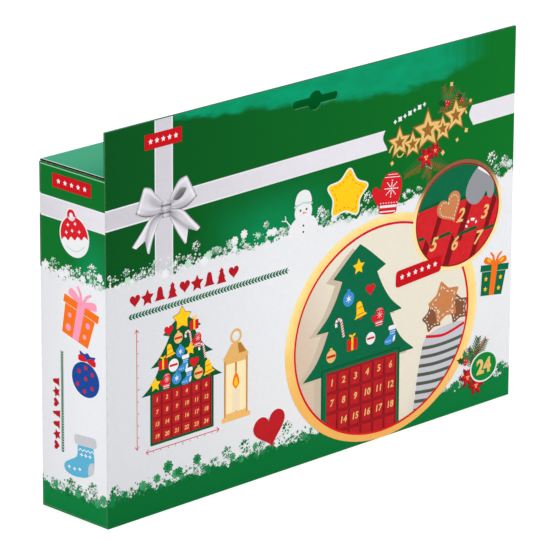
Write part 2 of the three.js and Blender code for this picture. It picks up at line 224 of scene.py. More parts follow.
def make_floor():
    bpy.ops.mesh.primitive_plane_add(size=FLOOR_SIZE, location=(0, 0, 0))
    floor = bpy.context.object
    floor.name = "floor"
    material = bpy.data.materials.new("pale_floor")
    material.use_nodes = True
    tree = material.node_tree
    shader = tree.nodes["Principled BSDF"]
    shader.inputs["Roughness"].default_value = 0.9
    shader.inputs["Specular IOR Level"].default_value = 0
    shader.inputs["Emission Color"].default_value = (1, 1, 1, 1)
    lit_or_seen(tree, shader.inputs["Base Color"], 0.86, 0.46)
    lit_or_seen(tree, shader.inputs["Emission Strength"], 0, 0.68)
    floor.data.materials.append(material)


def soft_light(name, location, size, watts):
    data = bpy.data.lights.new(name, "AREA")
    data.shape = "DISK"
    data.size = size
    data.energy = watts
    lamp = placed_object(name, data, Matrix.Identity(4))
    lamp.location = location
    aim = Vector(LIGHTS_AIM) - lamp.location
    lamp.rotation_euler = aim.to_track_quat("-Z", "Y").to_euler()


def make_studio():
    make_world()
    make_floor()
    for name, values in SOFTBOXES.items():
        soft_light(name, *values)
    bpy.context.scene.view_settings.view_transform = "Standard"


make_camera()
make_studio()


# Materials


def rgb(red, green, blue):
    """Linear colour of the usual 0 to 255 numbers."""
    linear = []
    for value in (red / 255, green / 255, blue / 255):
        linear.append(value / 12.92 if value <= 0.04045 else ((value + 0.055) / 1.055) ** 2.4)
    return (*linear, 1)


class Finish:
    """A material being put together. Each method adds nodes and gives back what they put out."""

    def __init__(self, name):
        self.material = bpy.data.materials.new(name)
        self.material.use_nodes = True
        self.tree = self.material.node_tree
        self.shader = self.tree.nodes["Principled BSDF"]
        self.where = self.tree.nodes.new("ShaderNodeTexCoord").outputs["Object"]

    def feed(self, socket, value):
        if isinstance(value, bpy.types.NodeSocket):
            self.tree.links.new(value, socket)
        else:
            socket.default_value = value

    def node(self, kind, output, inputs, **settings):
        """A node with its settings and inputs, which are plain values or what other nodes put out."""
        node = self.tree.nodes.new(f"ShaderNode{kind}")
        for name, value in settings.items():
            setattr(node, name, value)
        for socket, value in inputs.items():
            self.feed(node.inputs[socket], value)
        return node.outputs[output]

    def maths(self, operation, first, second=0):
        return self.node("Math", 0, {0: first, 1: second}, operation=operation)

    def plus(self, first, second):
        return self.maths("ADD", first, second)

    def minus(self, first, second):
        return self.maths("SUBTRACT", first, second)

    def times(self, first, *others):
        for other in others:
            first = self.maths("MULTIPLY", first, other)
        return first

    def along(self, start, direction):
        """Millimetres from start along a direction."""
        offset = self.node("VectorMath", 0, {0: self.where, 1: Vector(start) * MM}, operation="SUBTRACT")
        way = {0: offset, 1: Vector(direction) / MM}
        return self.node("VectorMath", "Value", way, operation="DOT_PRODUCT")

    def across_and_up(self, face):
        """Millimetres across a face and up it, as seen from outside."""
        corner, across, up, _ = face_axes(face)
        return self.along(corner, across), self.along(corner, up)

    def noise(self, size, detail=2, stretch=(1, 1, 1), shift=0):
        """Noise with features of a size in millimetres, drawn out along an axis by stretch."""
        scale = [1 / (size * MM * part) for part in stretch]
        mapped = self.node("Mapping", 0, {"Vector": self.where, "Location": [shift] * 3, "Scale": scale})
        return self.node("TexNoise", "Fac", {"Vector": mapped, "Scale": 1, "Detail": detail})

    def ramp(self, value, low, high):
        """0 up to low, 1 from high on, and smooth between them."""
        inputs = {"Value": value, "From Min": low, "From Max": high}
        return self.node("MapRange", "Result", inputs, interpolation_type="SMOOTHSTEP")

    def between(self, value, low, high, soft):
        """1 between low and high, with soft edges of that width."""
        return self.minus(self.ramp(value, low, low + soft), self.ramp(value, high - soft, high))

    def scaled(self, value, low, high):
        """Takes 0 to 1 onto low to high."""
        return self.node("MapRange", "Result", {"Value": value, "To Min": low, "To Max": high})

    def mix(self, share, first, second, blend="MIX"):
        inputs = {"Factor": share, 6: first, 7: second}
        return self.node("Mix", 2, inputs, data_type="RGBA", blend_type=blend)

    def shade(self, colour, amount):
        """The colour made lighter or darker by a grey amount, where 1 leaves it."""
        grey = self.node("CombineColor", 0, {"Red": amount, "Green": amount, "Blue": amount})
        return self.mix(1, colour, grey, "MULTIPLY")

    def bump(self, height, depth):
        """Bump whose heights of 0 to 1 span a depth in millimetres. Calls add up."""
        normal = self.shader.inputs["Normal"]
        inputs = {"Distance": depth * MM, "Height": height}
        if normal.links:
            inputs["Normal"] = normal.links[0].from_socket
        self.feed(normal, self.node("Bump", 0, inputs))

    def paint(self, colour):
        self.feed(self.shader.inputs["Base Color"], colour)

    def gloss(self, low, high, specular):
        """Roughness that varies between two values over a few millimetres."""
        self.feed(self.shader.inputs["Roughness"], self.scaled(self.noise(9, 3), low, high))
        self.shader.inputs["Specular IOR Level"].default_value = specular


def laminate(finish, colour):
    """Ink under a glossy film: a faint mottle, a slow waviness of the board and a fine skin."""
    mottle = finish.scaled(finish.noise(2.2, 4), 0.965, 1.035)
    finish.paint(finish.shade(colour, mottle))
    finish.gloss(0.3, 0.42, 0.035)
    finish.bump(finish.noise(38, 1, shift=3), 0.1)
    finish.bump(finish.noise(0.7, 2), 0.0035)


# Colours of the carton's large areas
# The greens and bands get darker towards one end, the front's left: partly print and partly painted shade
GREEN_LEFT = rgb(0, 78, 26)
GREEN_RIGHT = rgb(0, 112, 34)
GREEN_GLOW = rgb(0, 136, 80)
PAINTED_SHEEN_TEAL = rgb(0, 153, 108)
FOLD_GREEN = rgb(0, 96, 56)
GREEN_SIDE = rgb(0, 108, 36)
BAND_LEFT = rgb(0, 104, 46)
BAND_RIGHT = rgb(0, 122, 58)
SNOW = rgb(236, 237, 240)
# The snow's darker tone serves its random drifts and the painted shade
SNOW_DRIFT_AND_PAINTED_SHADE = rgb(214, 215, 219)
# The ribbon's darker tone serves the satin's random tone and the painted shade
RIBBON_DARK_SATIN_AND_SHADE = rgb(198, 195, 203)
RIBBON = rgb(228, 225, 232)
RIBBON_EDGE = rgb(232, 230, 236)
PAINTED_CREASE_HIGHLIGHT = rgb(70, 128, 92)
SIDE_CREASE_HIGHLIGHT = rgb(176, 236, 196)
BARE_BOARD = (rgb(172, 165, 152), rgb(201, 195, 183))
BOARD_SPECK = rgb(120, 112, 100)
LID_SHADED_MIDDLE_GREEN = rgb(0, 86, 36)
LID_PAINTED_SHEEN = (rgb(6, 148, 108), rgb(56, 160, 120))
LID_CREASE_HIGHLIGHT = rgb(226, 236, 230)
LID_CREASE_SHADE = rgb(0, 34, 16)
LID_RIM = rgb(190, 214, 198)
BOTTOM_GREENS = (rgb(0, 108, 48), rgb(0, 118, 54))
HEADER_BACK_GREENS = (rgb(0, 96, 38), rgb(0, 112, 46))

# Places of the large print areas on each face, in millimetres across and up. The greens and bands run
# from the face's left to its right, the ribbons are strips that way and upright, the emblem breaks the
# ribbon, the glow is a lighter stretch above the snow, dim is the span over which shade is painted on
# the snow and the ribbons, and sheen says whether a teal sheen is painted on the header
FRONT_PAGE = {
    "width": CARTON_WIDTH,
    "greens": (GREEN_LEFT, GREEN_RIGHT),
    "bands": (BAND_LEFT, BAND_RIGHT),
    "ribbon": (159, 170.4),
    "rise": 3 / CARTON_WIDTH,
    "upright": (33.2, 46),
    "emblem": (199.5, 266),
    "snow_top": 129.5,
    "snow_low": 15,
    "glow": (56, 186),
    "dim": (0.62, -0.08),
    "sheen": True,
}
LEFT_PAGE = {
    "width": CARTON_DEPTH,
    "greens": (GREEN_SIDE, GREEN_SIDE),
    "bands": (BAND_RIGHT, BAND_RIGHT),
    "ribbon": (157.6, 169.2),
    "rise": 0,
    "upright": None,
    "emblem": None,
    "snow_top": 129,
    "snow_low": 12.5,
    "glow": (20, 60),
    "dim": (1.3, -0.9),
    "sheen": False,
}
RIGHT_PAGE = {
    **LEFT_PAGE,
    "ribbon": (162, 173.4),
    "rise": -3.6 / CARTON_DEPTH,
    "snow_top": 130,
    "snow_low": 13.5,
    "glow": (-10, 30),
}
BACK_PAGE = {
    **FRONT_PAGE,
    "greens": (GREEN_RIGHT, GREEN_LEFT),
    "bands": (BAND_RIGHT, BAND_LEFT),
    "ribbon": (158.4, 169.8),
    "rise": 0,
    "upright": (254, 266.8),
    "emblem": None,
    "glow": (120, 240),
    "dim": None,
    "sheen": False,
}
PAGES = {"front": FRONT_PAGE, "left": LEFT_PAGE, "right": RIGHT_PAGE, "back": BACK_PAGE}

# Where things fade on the faces, each from nothing to full, in millimetres
GLOW_RISE = (168, 134)
SHEEN_FOOT = (188.6, 192.8)
SHEEN_START = (45.5, 47.5)
SHEEN_END = (286, 236)
SHEEN_MIDDLE = 212
SHEEN_SLOPE = 0.112
FOLD_EDGE = (CARTON_HEIGHT - 0.1, CARTON_HEIGHT - 0.02)
PAINTED_CREASE_HIGHLIGHT_REACH = (0.45, 0.1)
LID_ENDS = (55, 96)
LID_BACK = (-4, 34)
LID_CREASE_HIGHLIGHT_REACH = (1.9, 1.5)
LID_CREASE_SHADE_REACH = (1.3, 0.9)
LID_RIM_REACH = (1.5, 0.7)

# Heights of the snow's ragged edge and of the crystals in it, and the ribbons' hems
RAGGED = 5.5
CRYSTALS = 3.2
RIBBON_HEM = 0.6
RIBBON_SOFT_EDGE = 0.25
# Where the painted highlight under the sides' top crease lies
SIDE_CREASE_HIGHLIGHT_PLACE = (WALL_TOP - 1.15, WALL_TOP - 0.45)

# Shares of a board's thickness between which the print ends
PRINT_END = (0.9, 0.95)


def bare_board(finish):
    """Grey-brown recycled board: fibres, darker specks and a soft fuzz."""
    fibres = finish.noise(1.4, 6, stretch=(2.5, 2.5, 1))
    tone = finish.mix(fibres, *BARE_BOARD)
    specks = finish.ramp(finish.noise(0.5, 2, shift=5), 0.66, 0.72)
    return finish.mix(finish.times(specks, 0.45), tone, BOARD_SPECK)


def inner_side(finish, depth, thickness):
    """1 where the print ends, close to the board's inner side."""
    return finish.ramp(depth, *[thickness * share for share in PRINT_END])


def with_glow(finish, green, u, v, page):
    """The green with a soft lighter cloud above the snow."""
    left, right = page["glow"]
    reach = finish.between(u, left, right, (right - left) * 0.45)
    rising = finish.ramp(v, *GLOW_RISE)
    cloud = finish.scaled(finish.noise(24, 2), 0.5, 1.1)
    return finish.mix(finish.times(reach, rising, cloud), green, GREEN_GLOW)


def header_sheen(finish, u, v):
    """Where a teal sheen, the film's reflection, is painted on the header: mottled below, streaked and fading
    at its right end.
    """
    mottle = finish.scaled(finish.noise(8, 5, stretch=(1.8, 1, 0.7)), -4.5, 4.5)
    slope = finish.times(finish.maths("ABSOLUTE", finish.minus(u, SHEEN_MIDDLE)), SHEEN_SLOPE)
    height = finish.minus(finish.plus(v, mottle), slope)
    rising = finish.ramp(height, *SHEEN_FOOT)
    streaks = finish.scaled(finish.noise(2.2, 2, stretch=(1, 1, 16)), -14, 14)
    ending = finish.ramp(finish.plus(u, streaks), *SHEEN_END)
    starting = finish.ramp(u, *SHEEN_START)
    strength = finish.scaled(finish.noise(7, 4, stretch=(2, 1, 0.8), shift=7), 0.45, 1.25)
    return finish.times(rising, ending, starting, strength)


def snow_edges(finish, v, page):
    """1 above the snow's ragged lower edge, and 1 below its ragged upper edge."""
    ragged = finish.scaled(finish.noise(7, 3), -RAGGED, RAGGED)
    crystals = finish.scaled(finish.noise(1.3, 2, shift=2), -CRYSTALS, CRYSTALS)
    edge = finish.plus(v, finish.plus(ragged, crystals))
    above_low = finish.ramp(edge, page["snow_low"] - 0.4, page["snow_low"] + 0.4)
    below_top = finish.ramp(edge, page["snow_top"] + 0.5, page["snow_top"] - 0.5)
    return above_low, below_top


def beside_emblem(finish, u, v, page):
    """1 where the ribbon gives way to the emblem, with ends that follow its outline."""
    low, high = page["emblem"]
    wave = finish.times(finish.maths("SINE", finish.times(v, 0.42)), 1.6)
    return finish.between(finish.plus(u, wave), low, high, 0.3)


def with_strip(finish, colour, value, low, high, ribbon, where=None):
    """The colour with a ribbon on it, whose edges are paler; it may be kept to one part of the face."""
    inside = finish.between(value, low, high, RIBBON_SOFT_EDGE)
    if where:
        inside = finish.times(inside, where)
    middle = finish.between(value, low + RIBBON_HEM, high - RIBBON_HEM, 2 * RIBBON_SOFT_EDGE)
    return finish.mix(inside, colour, finish.mix(middle, RIBBON_EDGE, ribbon))


def scuffed(finish, colour, u, page):
    """A paler line is painted along the upright creases as their highlight, broken up in patches."""
    from_edge = finish.maths("MINIMUM", u, finish.minus(page["width"], u))
    highlight_breakup = finish.scaled(finish.noise(3, 4, shift=4), -0.25, 0.35)
    return finish.mix(finish.times(finish.ramp(from_edge, *PAINTED_CREASE_HIGHLIGHT_REACH), highlight_breakup), colour, PAINTED_CREASE_HIGHLIGHT)


def printed_panel(face):
    """A panel printed on its outer side and bare on its inner side and at its cut edges."""
    page = PAGES[face]
    finish = Finish(f"printed_{face}")
    u, v = finish.across_and_up(face)
    share = finish.maths("DIVIDE", u, page["width"])
    green = with_glow(finish, finish.mix(share, *page["greens"]), u, v, page)
    # The header gets a painted teal sheen that stands in for a reflection
    if page["sheen"]:
        green = finish.mix(header_sheen(finish, u, v), green, PAINTED_SHEEN_TEAL)
    above_low, below_top = snow_edges(finish, v, page)
    colour = finish.mix(above_low, finish.mix(share, *page["bands"]), green)

    # Painted shade: snow and ribbons darker towards the front's left end, and on the sides
    painted_shade = finish.ramp(share, *page["dim"]) if page["dim"] else 0
    satin = finish.scaled(finish.noise(30, 1, stretch=(1, 1, 0.2)), -0.12, 0.12)
    ribbon = finish.mix(finish.plus(satin, painted_shade), RIBBON, RIBBON_DARK_SATIN_AND_SHADE)
    level = finish.minus(v, finish.times(u, page["rise"]))
    beside = finish.minus(1, beside_emblem(finish, u, v, page)) if page["emblem"] else None
    colour = with_strip(finish, colour, level, *page["ribbon"], ribbon, beside)
    if page["upright"]:
        colour = with_strip(finish, colour, u, *page["upright"], ribbon, above_low)

    drift = finish.times(finish.scaled(finish.noise(60, 1), 0, 1), 0.35)
    snow = finish.mix(finish.maths("MAXIMUM", drift, painted_shade), SNOW, SNOW_DRIFT_AND_PAINTED_SHADE)
    colour = finish.mix(finish.times(below_top, above_low), colour, snow)
    # A painted highlight along the upright creases, broken up in patches
    colour = scuffed(finish, colour, u, page)
    # A pale line is painted under the sides' top crease as its highlight
    if face in ("left", "right"):
        crease = finish.between(v, *SIDE_CREASE_HIGHLIGHT_PLACE, 0.2)
        colour = finish.mix(finish.times(crease, 0.62), colour, SIDE_CREASE_HIGHLIGHT)

    # Bare board on the inner side. The header's top edge is a fold, so it is printed, and a little darker
    corner, _, _, outward = face_axes(face)
    depth = finish.along(corner, -outward)
    colour = finish.mix(finish.ramp(v, *FOLD_EDGE), colour, FOLD_GREEN)
    inner = finish.times(inner_side(finish, depth, BOARD), finish.ramp(v, *FOLD_EDGE[::-1]))
    laminate(finish, finish.mix(inner, colour, bare_board(finish)))
    return finish.material


def plain_green_panel(name, start, inward, thickness, colours):
    """Green print on the outer side only, as on the bottom and the header's back layer."""
    finish = Finish(name)
    depth = finish.along(start, inward)
    cloud = finish.scaled(finish.noise(26, 2), 0, 1)
    green = finish.mix(cloud, *colours)
    at_top = finish.ramp(finish.along((0, 0, 0), (0, 0, 1)), *FOLD_EDGE)
    green = finish.mix(at_top, green, FOLD_GREEN)
    inner = inner_side(finish, depth, thickness)
    laminate(finish, finish.mix(inner, green, bare_board(finish)))
    return finish.material


def printed_lid():
    """Green print, bare inside, with a teal sheen painted towards the lid's two ends and darker shade painted
    in its middle.

    A painted highlight line and a painted shade line run along each end's crease.
    """
    finish = Finish("printed_lid")
    off_middle = finish.maths("ABSOLUTE", finish.along((0, 0, 0), (1, 0, 0)))
    back = finish.along((0, -HALF_DEPTH, 0), (0, 1, 0))
    depth = finish.along((0, 0, BODY_HEIGHT), (0, 0, -1))
    # Painted teal sheen towards the ends, over a darker green painted as shade in the middle
    ends = finish.ramp(off_middle, *LID_ENDS)
    cloud = finish.scaled(finish.noise(20, 2), -9, 9)
    painted_sheen = finish.mix(finish.ramp(finish.plus(back, cloud), *LID_BACK), *LID_PAINTED_SHEEN)
    green = finish.mix(ends, LID_SHADED_MIDDLE_GREEN, painted_sheen)
    from_end = finish.minus(HALF_WIDTH, off_middle)
    # A painted highlight along each end's crease, and painted shade at its very edge
    green = finish.mix(finish.ramp(from_end, *LID_CREASE_HIGHLIGHT_REACH), green, LID_CREASE_HIGHLIGHT)
    green = finish.mix(finish.ramp(from_end, *LID_CREASE_SHADE_REACH), green, LID_CREASE_SHADE)
    green = finish.mix(finish.times(finish.ramp(back, *LID_RIM_REACH), 0.5), green, LID_RIM)
    inner = inner_side(finish, depth, BOARD)
    finish.paint(finish.mix(inner, green, bare_board(finish)))
    finish.gloss(0.34, 0.48, 0)
    finish.feed(finish.shader.inputs["Specular IOR Level"], finish.times(ends, 0.02))
    finish.bump(finish.noise(38, 1, shift=3), 0.08)
    return finish.material


def raw_board():
    finish = Finish("raw_board")
    finish.paint(bare_board(finish))
    finish.gloss(0.75, 0.9, 0.15)
    finish.bump(finish.noise(0.9, 5), 0.02)
    return finish.material


def dress(material, *nodes):
    """Gives carried-over CAD nodes a finish."""
    for node in nodes:
        colour_with(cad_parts[node].data, material)


def dress_carton():
    dress(printed_panel("front"), "front_panel")
    dress(printed_panel("left"), "left_side_panel")
    dress(printed_panel("right"), "right_side_panel")
    dress(printed_panel("back"), "back_panel")
    dress(printed_lid(), "lid_panel")
    bottom = plain_green_panel("printed_bottom", (0, 0, 0), (0, 0, 1), BOARD, BOTTOM_GREENS)
    dress(bottom, "bottom_outer_flap")
    header_back = plain_green_panel("printed_header_back", (0, HEADER_BACK - HALF_DEPTH, 0), (0, -1, 0),
                                    BOARD * 1.1, HEADER_BACK_GREENS)
    dress(header_back, "header_back_layer")
    dress(raw_board(), "glue_flap", "bottom_inner_flap", "bottom_dust_flap_left", "bottom_dust_flap_right",
          "dust_flap_left", "dust_flap_right", "lid_tuck_flap")


dress_carton()


# Outlines on the flat, in millimetres


def moved(outline, x=0, y=0, turn=0, size=1, widen=1):
    """An outline scaled, widened, turned by degrees and then shifted."""
    angle = math.radians(turn)
    result = []
    for px, py in outline:
        px, py = px * size * widen, py * size
        result.append((
            x + px * math.cos(angle) - py * math.sin(angle),
            y + px * math.sin(angle) + py * math.cos(angle),
        ))
    return result


def oval(x, y, across, up, points=48):
    """An ellipse with half-widths across and up."""
    angles = [2 * math.pi * step / points for step in range(points)]
    return [(x + across * math.cos(angle), y + up * math.sin(angle)) for angle in angles]


def box(x0, y0, x1, y1):
    return [(x0, y0), (x1, y0), (x1, y1), (x0, y1)]


def rounded(outline, radius, steps=4):
    """The outline with its corners rounded off."""
    result = []
    count = len(outline)
    for index, corner in enumerate(outline):
        corner = Vector(corner)
        before = Vector(outline[index - 1]) - corner
        after = Vector(outline[(index + 1) % count]) - corner
        start = corner + before.normalized() * min(radius, before.length * 0.48)
        end = corner + after.normalized() * min(radius, after.length * 0.48)
        for step in range(steps + 1):
            share = step / steps
            point = start * (1 - share) ** 2 + corner * 2 * share * (1 - share) + end * share ** 2
            result.append((point.x, point.y))
    return result


def smooth_line(points, steps=6, closed=False):
    """A smooth line through the points."""
    count = len(points)
    result = []
    for index in range(count if closed else count - 1):
        if closed:
            near = [Vector(points[(index + shift) % count]) for shift in (-1, 0, 1, 2)]
        else:
            near = [Vector(points[min(max(index + shift, 0), count - 1)]) for shift in (-1, 0, 1, 2)]
        p0, p1, p2, p3 = near
        for step in range(steps):
            t = step / steps
            point = 0.5 * (2 * p1 + (p2 - p0) * t + (2 * p0 - 5 * p1 + 4 * p2 - p3) * t ** 2
                           + (3 * p1 - p0 - 3 * p2 + p3) * t ** 3)
            result.append((point.x, point.y))
    if not closed:
        result.append(tuple(points[-1]))
    return result


def line_band(points, width, end_width=None):
    """A band of some width along a line, tapering where an end width is given."""
    end_width = width if end_width is None else end_width
    count = len(points)
    left, right = [], []
    for index, point in enumerate(points):
        before = Vector(points[max(index - 1, 0)])
        after = Vector(points[min(index + 1, count - 1)])
        way = (after - before).normalized()
        side = Vector((-way.y, way.x)) * (width + (end_width - width) * index / (count - 1)) / 2
        left.append((point[0] + side.x, point[1] + side.y))
        right.append((point[0] - side.x, point[1] - side.y))
    return left + right[::-1]


def grown(outline, margin):
    """The outline moved outwards, for the pale border round a motif."""
    count = len(outline)
    area = sum(outline[index - 1][0] * outline[index][1] - outline[index][0] * outline[index - 1][1]
               for index in range(count))
    outward = 1 if area > 0 else -1
    result = []
    for index, point in enumerate(outline):
        before = Vector(point) - Vector(outline[index - 1])
        after = Vector(outline[(index + 1) % count]) - Vector(point)
        if before.length < 1e-6 or after.length < 1e-6:
            continue
        way = before.normalized() + after.normalized()
        if way.length < 0.2:
            way = after
        way.normalize()
        result.append((point[0] + way.y * margin * outward, point[1] - way.x * margin * outward))
    return result


def cut_to(outline, window):
    """The part of the outline that lies in a convex window."""
    result = outline
    for index, start in enumerate(window):
        end = window[(index + 1) % len(window)]
        edge = (end[0] - start[0], end[1] - start[1])

        def side(point):
            return edge[0] * (point[1] - start[1]) - edge[1] * (point[0] - start[0])

        kept = []
        for step, point in enumerate(result):
            last = result[step - 1]
            here, there = side(point), side(last)
            if (here >= 0) != (there >= 0):
                share = there / (there - here)
                kept.append((last[0] + (point[0] - last[0]) * share,
                             last[1] + (point[1] - last[1]) * share))
            if here >= 0:
                kept.append(point)
        result = kept
        if len(result) < 3:
            return []
    return result


def star(radius, waist=0.5, points=5):
    outline = []
    for corner in range(2 * points):
        angle = math.radians(90 + 180 * corner / points)
        reach = radius if corner % 2 == 0 else radius * waist
        outline.append((reach * math.cos(angle), reach * math.sin(angle)))
    return outline


def heart(width):
    """A heart about the origin, point down."""
    outline = []
    for step in range(44):
        angle = 2 * math.pi * step / 44
        x = 16 * math.sin(angle) ** 3
        y = 13 * math.cos(angle) - 5 * math.cos(2 * angle) - 2 * math.cos(3 * angle) - math.cos(4 * angle)
        outline.append((x * width / 32, (y + 2.5) * width / 32))
    return outline[::-1]


def holly_leaf(length):
    """A leaf with pointed lobes, from the origin along +x."""
    upper = [(0, 0), (0.12, 0.16), (0.22, 0.1), (0.36, 0.27), (0.5, 0.13), (0.66, 0.24), (0.78, 0.08),
             (1, 0)]
    lower = [(x, -y) for x, y in upper[-2:0:-1]]
    return [(x * length, y * length) for x, y in upper + lower][::-1]


def leaf(length, width):
    edge = [(0, 0), (length * 0.4, width / 2), (length, 0), (length * 0.4, -width / 2)]
    return smooth_line(edge[::-1], 4, closed=True)


def crystal(radius, arms=6, twigs=((0.42, 0.3), (0.7, 0.22)), bar=0.075, hub=0.16):
    """A snow crystal in one outline: straight arms, each with pairs of twigs."""
    half = []
    for place, length in twigs:
        reach = length * math.sin(math.pi / 3)
        rise = length * math.cos(math.pi / 3)
        half += [(bar, place - bar), (bar + reach, place + rise - bar), (bar + reach, place + rise + bar),
                 (bar, place + bar * 1.3)]
    half += [(bar, 0.96), (bar * 0.5, 1)]
    arm = half + [(-x, y) for x, y in half[::-1]]
    outline = []
    for index in range(arms):
        turn = -360 * index / arms
        outline += moved(arm[::-1], turn=turn, size=radius)
        outline += moved([(0, hub)], turn=turn - 180 / arms, size=radius)
    return outline[::-1]


def petal_crystal(radius, petals=8):
    """A rounder snow crystal with petals and small holes: the outer outline, then the holes."""
    outer = []
    for step in range(petals * 5):
        angle = 2 * math.pi * step / (petals * 5)
        reach = 0.62 + 0.38 * abs(math.cos(petals * angle / 2)) ** 0.7
        outer.append((reach * radius * math.cos(angle), reach * radius * math.sin(angle)))
    hole = oval(0.6 * radius, 0, 0.13 * radius, 0.055 * radius, 4)
    return [outer, *[moved(hole, turn=360 * index / petals) for index in range(petals)]]


# Inks, each with two tones that it wanders between. Some have a grain, the size of that in millimetres

INK_GRAIN = 0.9
INK_TONES = {
    "white": ((238, 238, 240), (228, 229, 232)),
    "pale_snow": ((168, 208, 186), (205, 228, 214)),
    "green_flake": ((0, 116, 58), (20, 132, 72)),
    "pale_green_flake": ((36, 138, 84), (76, 162, 112)),
    "red": ((204, 22, 34), (220, 30, 40)),
    "heart_red": ((168, 22, 30), (204, 34, 42), 5),
    "title_red": ((166, 16, 30), (184, 22, 36)),
    "deep_red": ((140, 18, 26), (164, 24, 30)),
    "pocket_red": ((164, 20, 28), (204, 36, 42), 2.4),
    "bright_pocket": ((190, 20, 30), (226, 44, 48), 2.4),
    "pocket_shade": ((112, 12, 18), (138, 18, 26), 2.4),
    "label_red": ((192, 8, 20), (204, 14, 26)),
    "tree_green": ((0, 92, 58), (4, 112, 72), 2),
    "tree_dark": ((0, 74, 40), (4, 92, 52), 2),
    "ground_green": ((0, 80, 27), (0, 84, 29)),
    "badge_green": ((0, 124, 46), (6, 140, 56)),
    "leaf": ((32, 92, 44), (84, 136, 70)),
    "dark_leaf": ((14, 62, 30), (34, 86, 42)),
    "moss": ((70, 78, 66), (92, 98, 86)),
    "gold": ((214, 164, 78), (246, 214, 142), 3),
    "bronze": ((120, 74, 24), (176, 122, 54), 3),
    "yellow": ((252, 196, 14), (255, 206, 30)),
    "orange": ((240, 104, 18), (246, 122, 30)),
    "pink": ((248, 146, 176), (250, 164, 190)),
    "navy": ((16, 62, 142), (24, 76, 158)),
    "blue": ((40, 128, 200), (70, 150, 214)),
    "sky": ((82, 168, 202), (98, 182, 214)),
    "grey": ((204, 205, 211), (190, 191, 198), 2),
    "wool": ((132, 134, 140), (160, 161, 166), 0.6),
    "ginger": ((190, 116, 66), (214, 142, 90), 1.6),
    "brown": ((112, 70, 44), (150, 98, 62), 1.2),
    "dark": ((48, 40, 34), (66, 56, 48)),
    "lantern_glass": ((250, 226, 170), (253, 236, 196), 4),
    "candle": ((236, 214, 176), (244, 228, 200)),
    "wall_shade": ((196, 180, 158), (206, 190, 168), 6),
}


def ink(name, first, second, grain=INK_GRAIN):
    """A printed colour whose tone wanders between two, as a printed picture's does."""
    finish = Finish(f"{name}_ink")
    share = finish.scaled(finish.noise(grain, 4, shift=1), 0.15, 0.85)
    laminate(finish, finish.mix(share, rgb(*first), rgb(*second)))
    return finish.material


INKS = {name: ink(name, *tones) for name, tones in INK_TONES.items()}


# Printing


def flat_curve(name, outlines, thickness):
    """A filled flat curve; an outline inside another one is a hole."""
    curve = bpy.data.curves.new(name, "CURVE")
    curve.dimensions = "2D"
    curve.fill_mode = "BOTH"
    curve.extrude = thickness / 2
    for outline in outlines:
        spline = curve.splines.new("POLY")
        spline.points.add(len(outline) - 1)
        for point, (x, y) in zip(spline.points, outline):
            point.co = (x * MM, y * MM, 0, 1)
        spline.use_cyclic_u = True
    return curve


def pattern_of(name, outlines):
    """A shape made once, 1 mm in radius and standing from 0 to 1 m, for stamping."""
    part = converted(placed_object(name, flat_curve(name, outlines, 1), Matrix.Identity(4)))
    part.data.transform(Matrix.Translation((0, 0, 0.5)))
    mesh = part.data.copy()
    bpy.data.objects.remove(part)
    return mesh


class Print:
    """A print on one face. Every shape is a thin solid on the board, and higher levels lie on top.

    A shape's colour is an ink by its name, or a material.
    """

    def __init__(self, name, face, above=0):
        self.name = name
        self.face = face
        self.above = above
        self.curves = []
        self.parts = []
        self.count = 0

    def thickness(self, level, steps=INK_STEPS):
        self.count += 1
        return (self.above + level + (self.count % steps) / INK_STEPS) * INK * MM

    def add_curve(self, colour, curve, place):
        colour_with(curve, INKS.get(colour, colour))
        self.curves.append(placed_object(self.name, curve, place))

    def lay(self, colour, level, *outlines):
        """Prints a shape; an outline inside the first one is a hole."""
        outlines = [outline for outline in outlines if len(outline) > 2]
        if outlines:
            thickness = self.thickness(level)
            curve = flat_curve(self.name, outlines, thickness)
            self.add_curve(colour, curve, Matrix.Translation((0, 0, thickness / 2)))

    def number(self, colour, level, value, x, y, height, turn=0, lean=0, weight=0.03):
        """Prints a plain number, centred at a point."""
        thickness = self.thickness(level)
        text = bpy.data.curves.new(self.name, "FONT")
        text.body = str(value)
        text.align_x = "CENTER"
        text.align_y = "CENTER"
        text.size = height * 1.38 * MM
        text.shear = lean
        text.offset = weight * height * MM
        text.resolution_u = 3
        text.extrude = thickness / 2
        place = Matrix.Translation((x * MM, y * MM, thickness / 2))
        self.add_curve(colour, text, place @ Matrix.Rotation(math.radians(turn), 4, "Z"))

    def stamp(self, pattern, colour, level, x, y, size, turn=0):
        """Prints a copy of a finished shape of size 1 mm and thickness 1 m."""
        place = Matrix.Translation((x * MM, y * MM, 0)) @ Matrix.Rotation(math.radians(turn), 4, "Z")
        part = placed_object(self.name, pattern.copy(), Matrix.Identity(4))
        part.data.transform(place @ Matrix.Diagonal((size, size, self.thickness(level, 3 * INK_STEPS), 1)))
        colour_with(part.data, INKS.get(colour, colour))
        self.parts.append(part)

    def shape(self):
        """Makes the curves meshes and joins all shapes into one piece on its face."""
        if self.curves:
            pick(*self.curves)
            bpy.ops.object.convert(target="MESH")
            for part in bpy.context.selected_objects:
                merge_points(part.data)
                self.parts.append(part)
        piece = joined(self.name, self.parts)
        piece.data.transform(face_matrix(self.face) @ piece.matrix_world)
        piece.matrix_world = Matrix.Identity(4)
        return piece

    def finish(self):
        piece = self.shape()
        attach(piece, "carton")
        return piece


# Motifs. Each is drawn at unit size about a point, and stands on a print from one level upwards


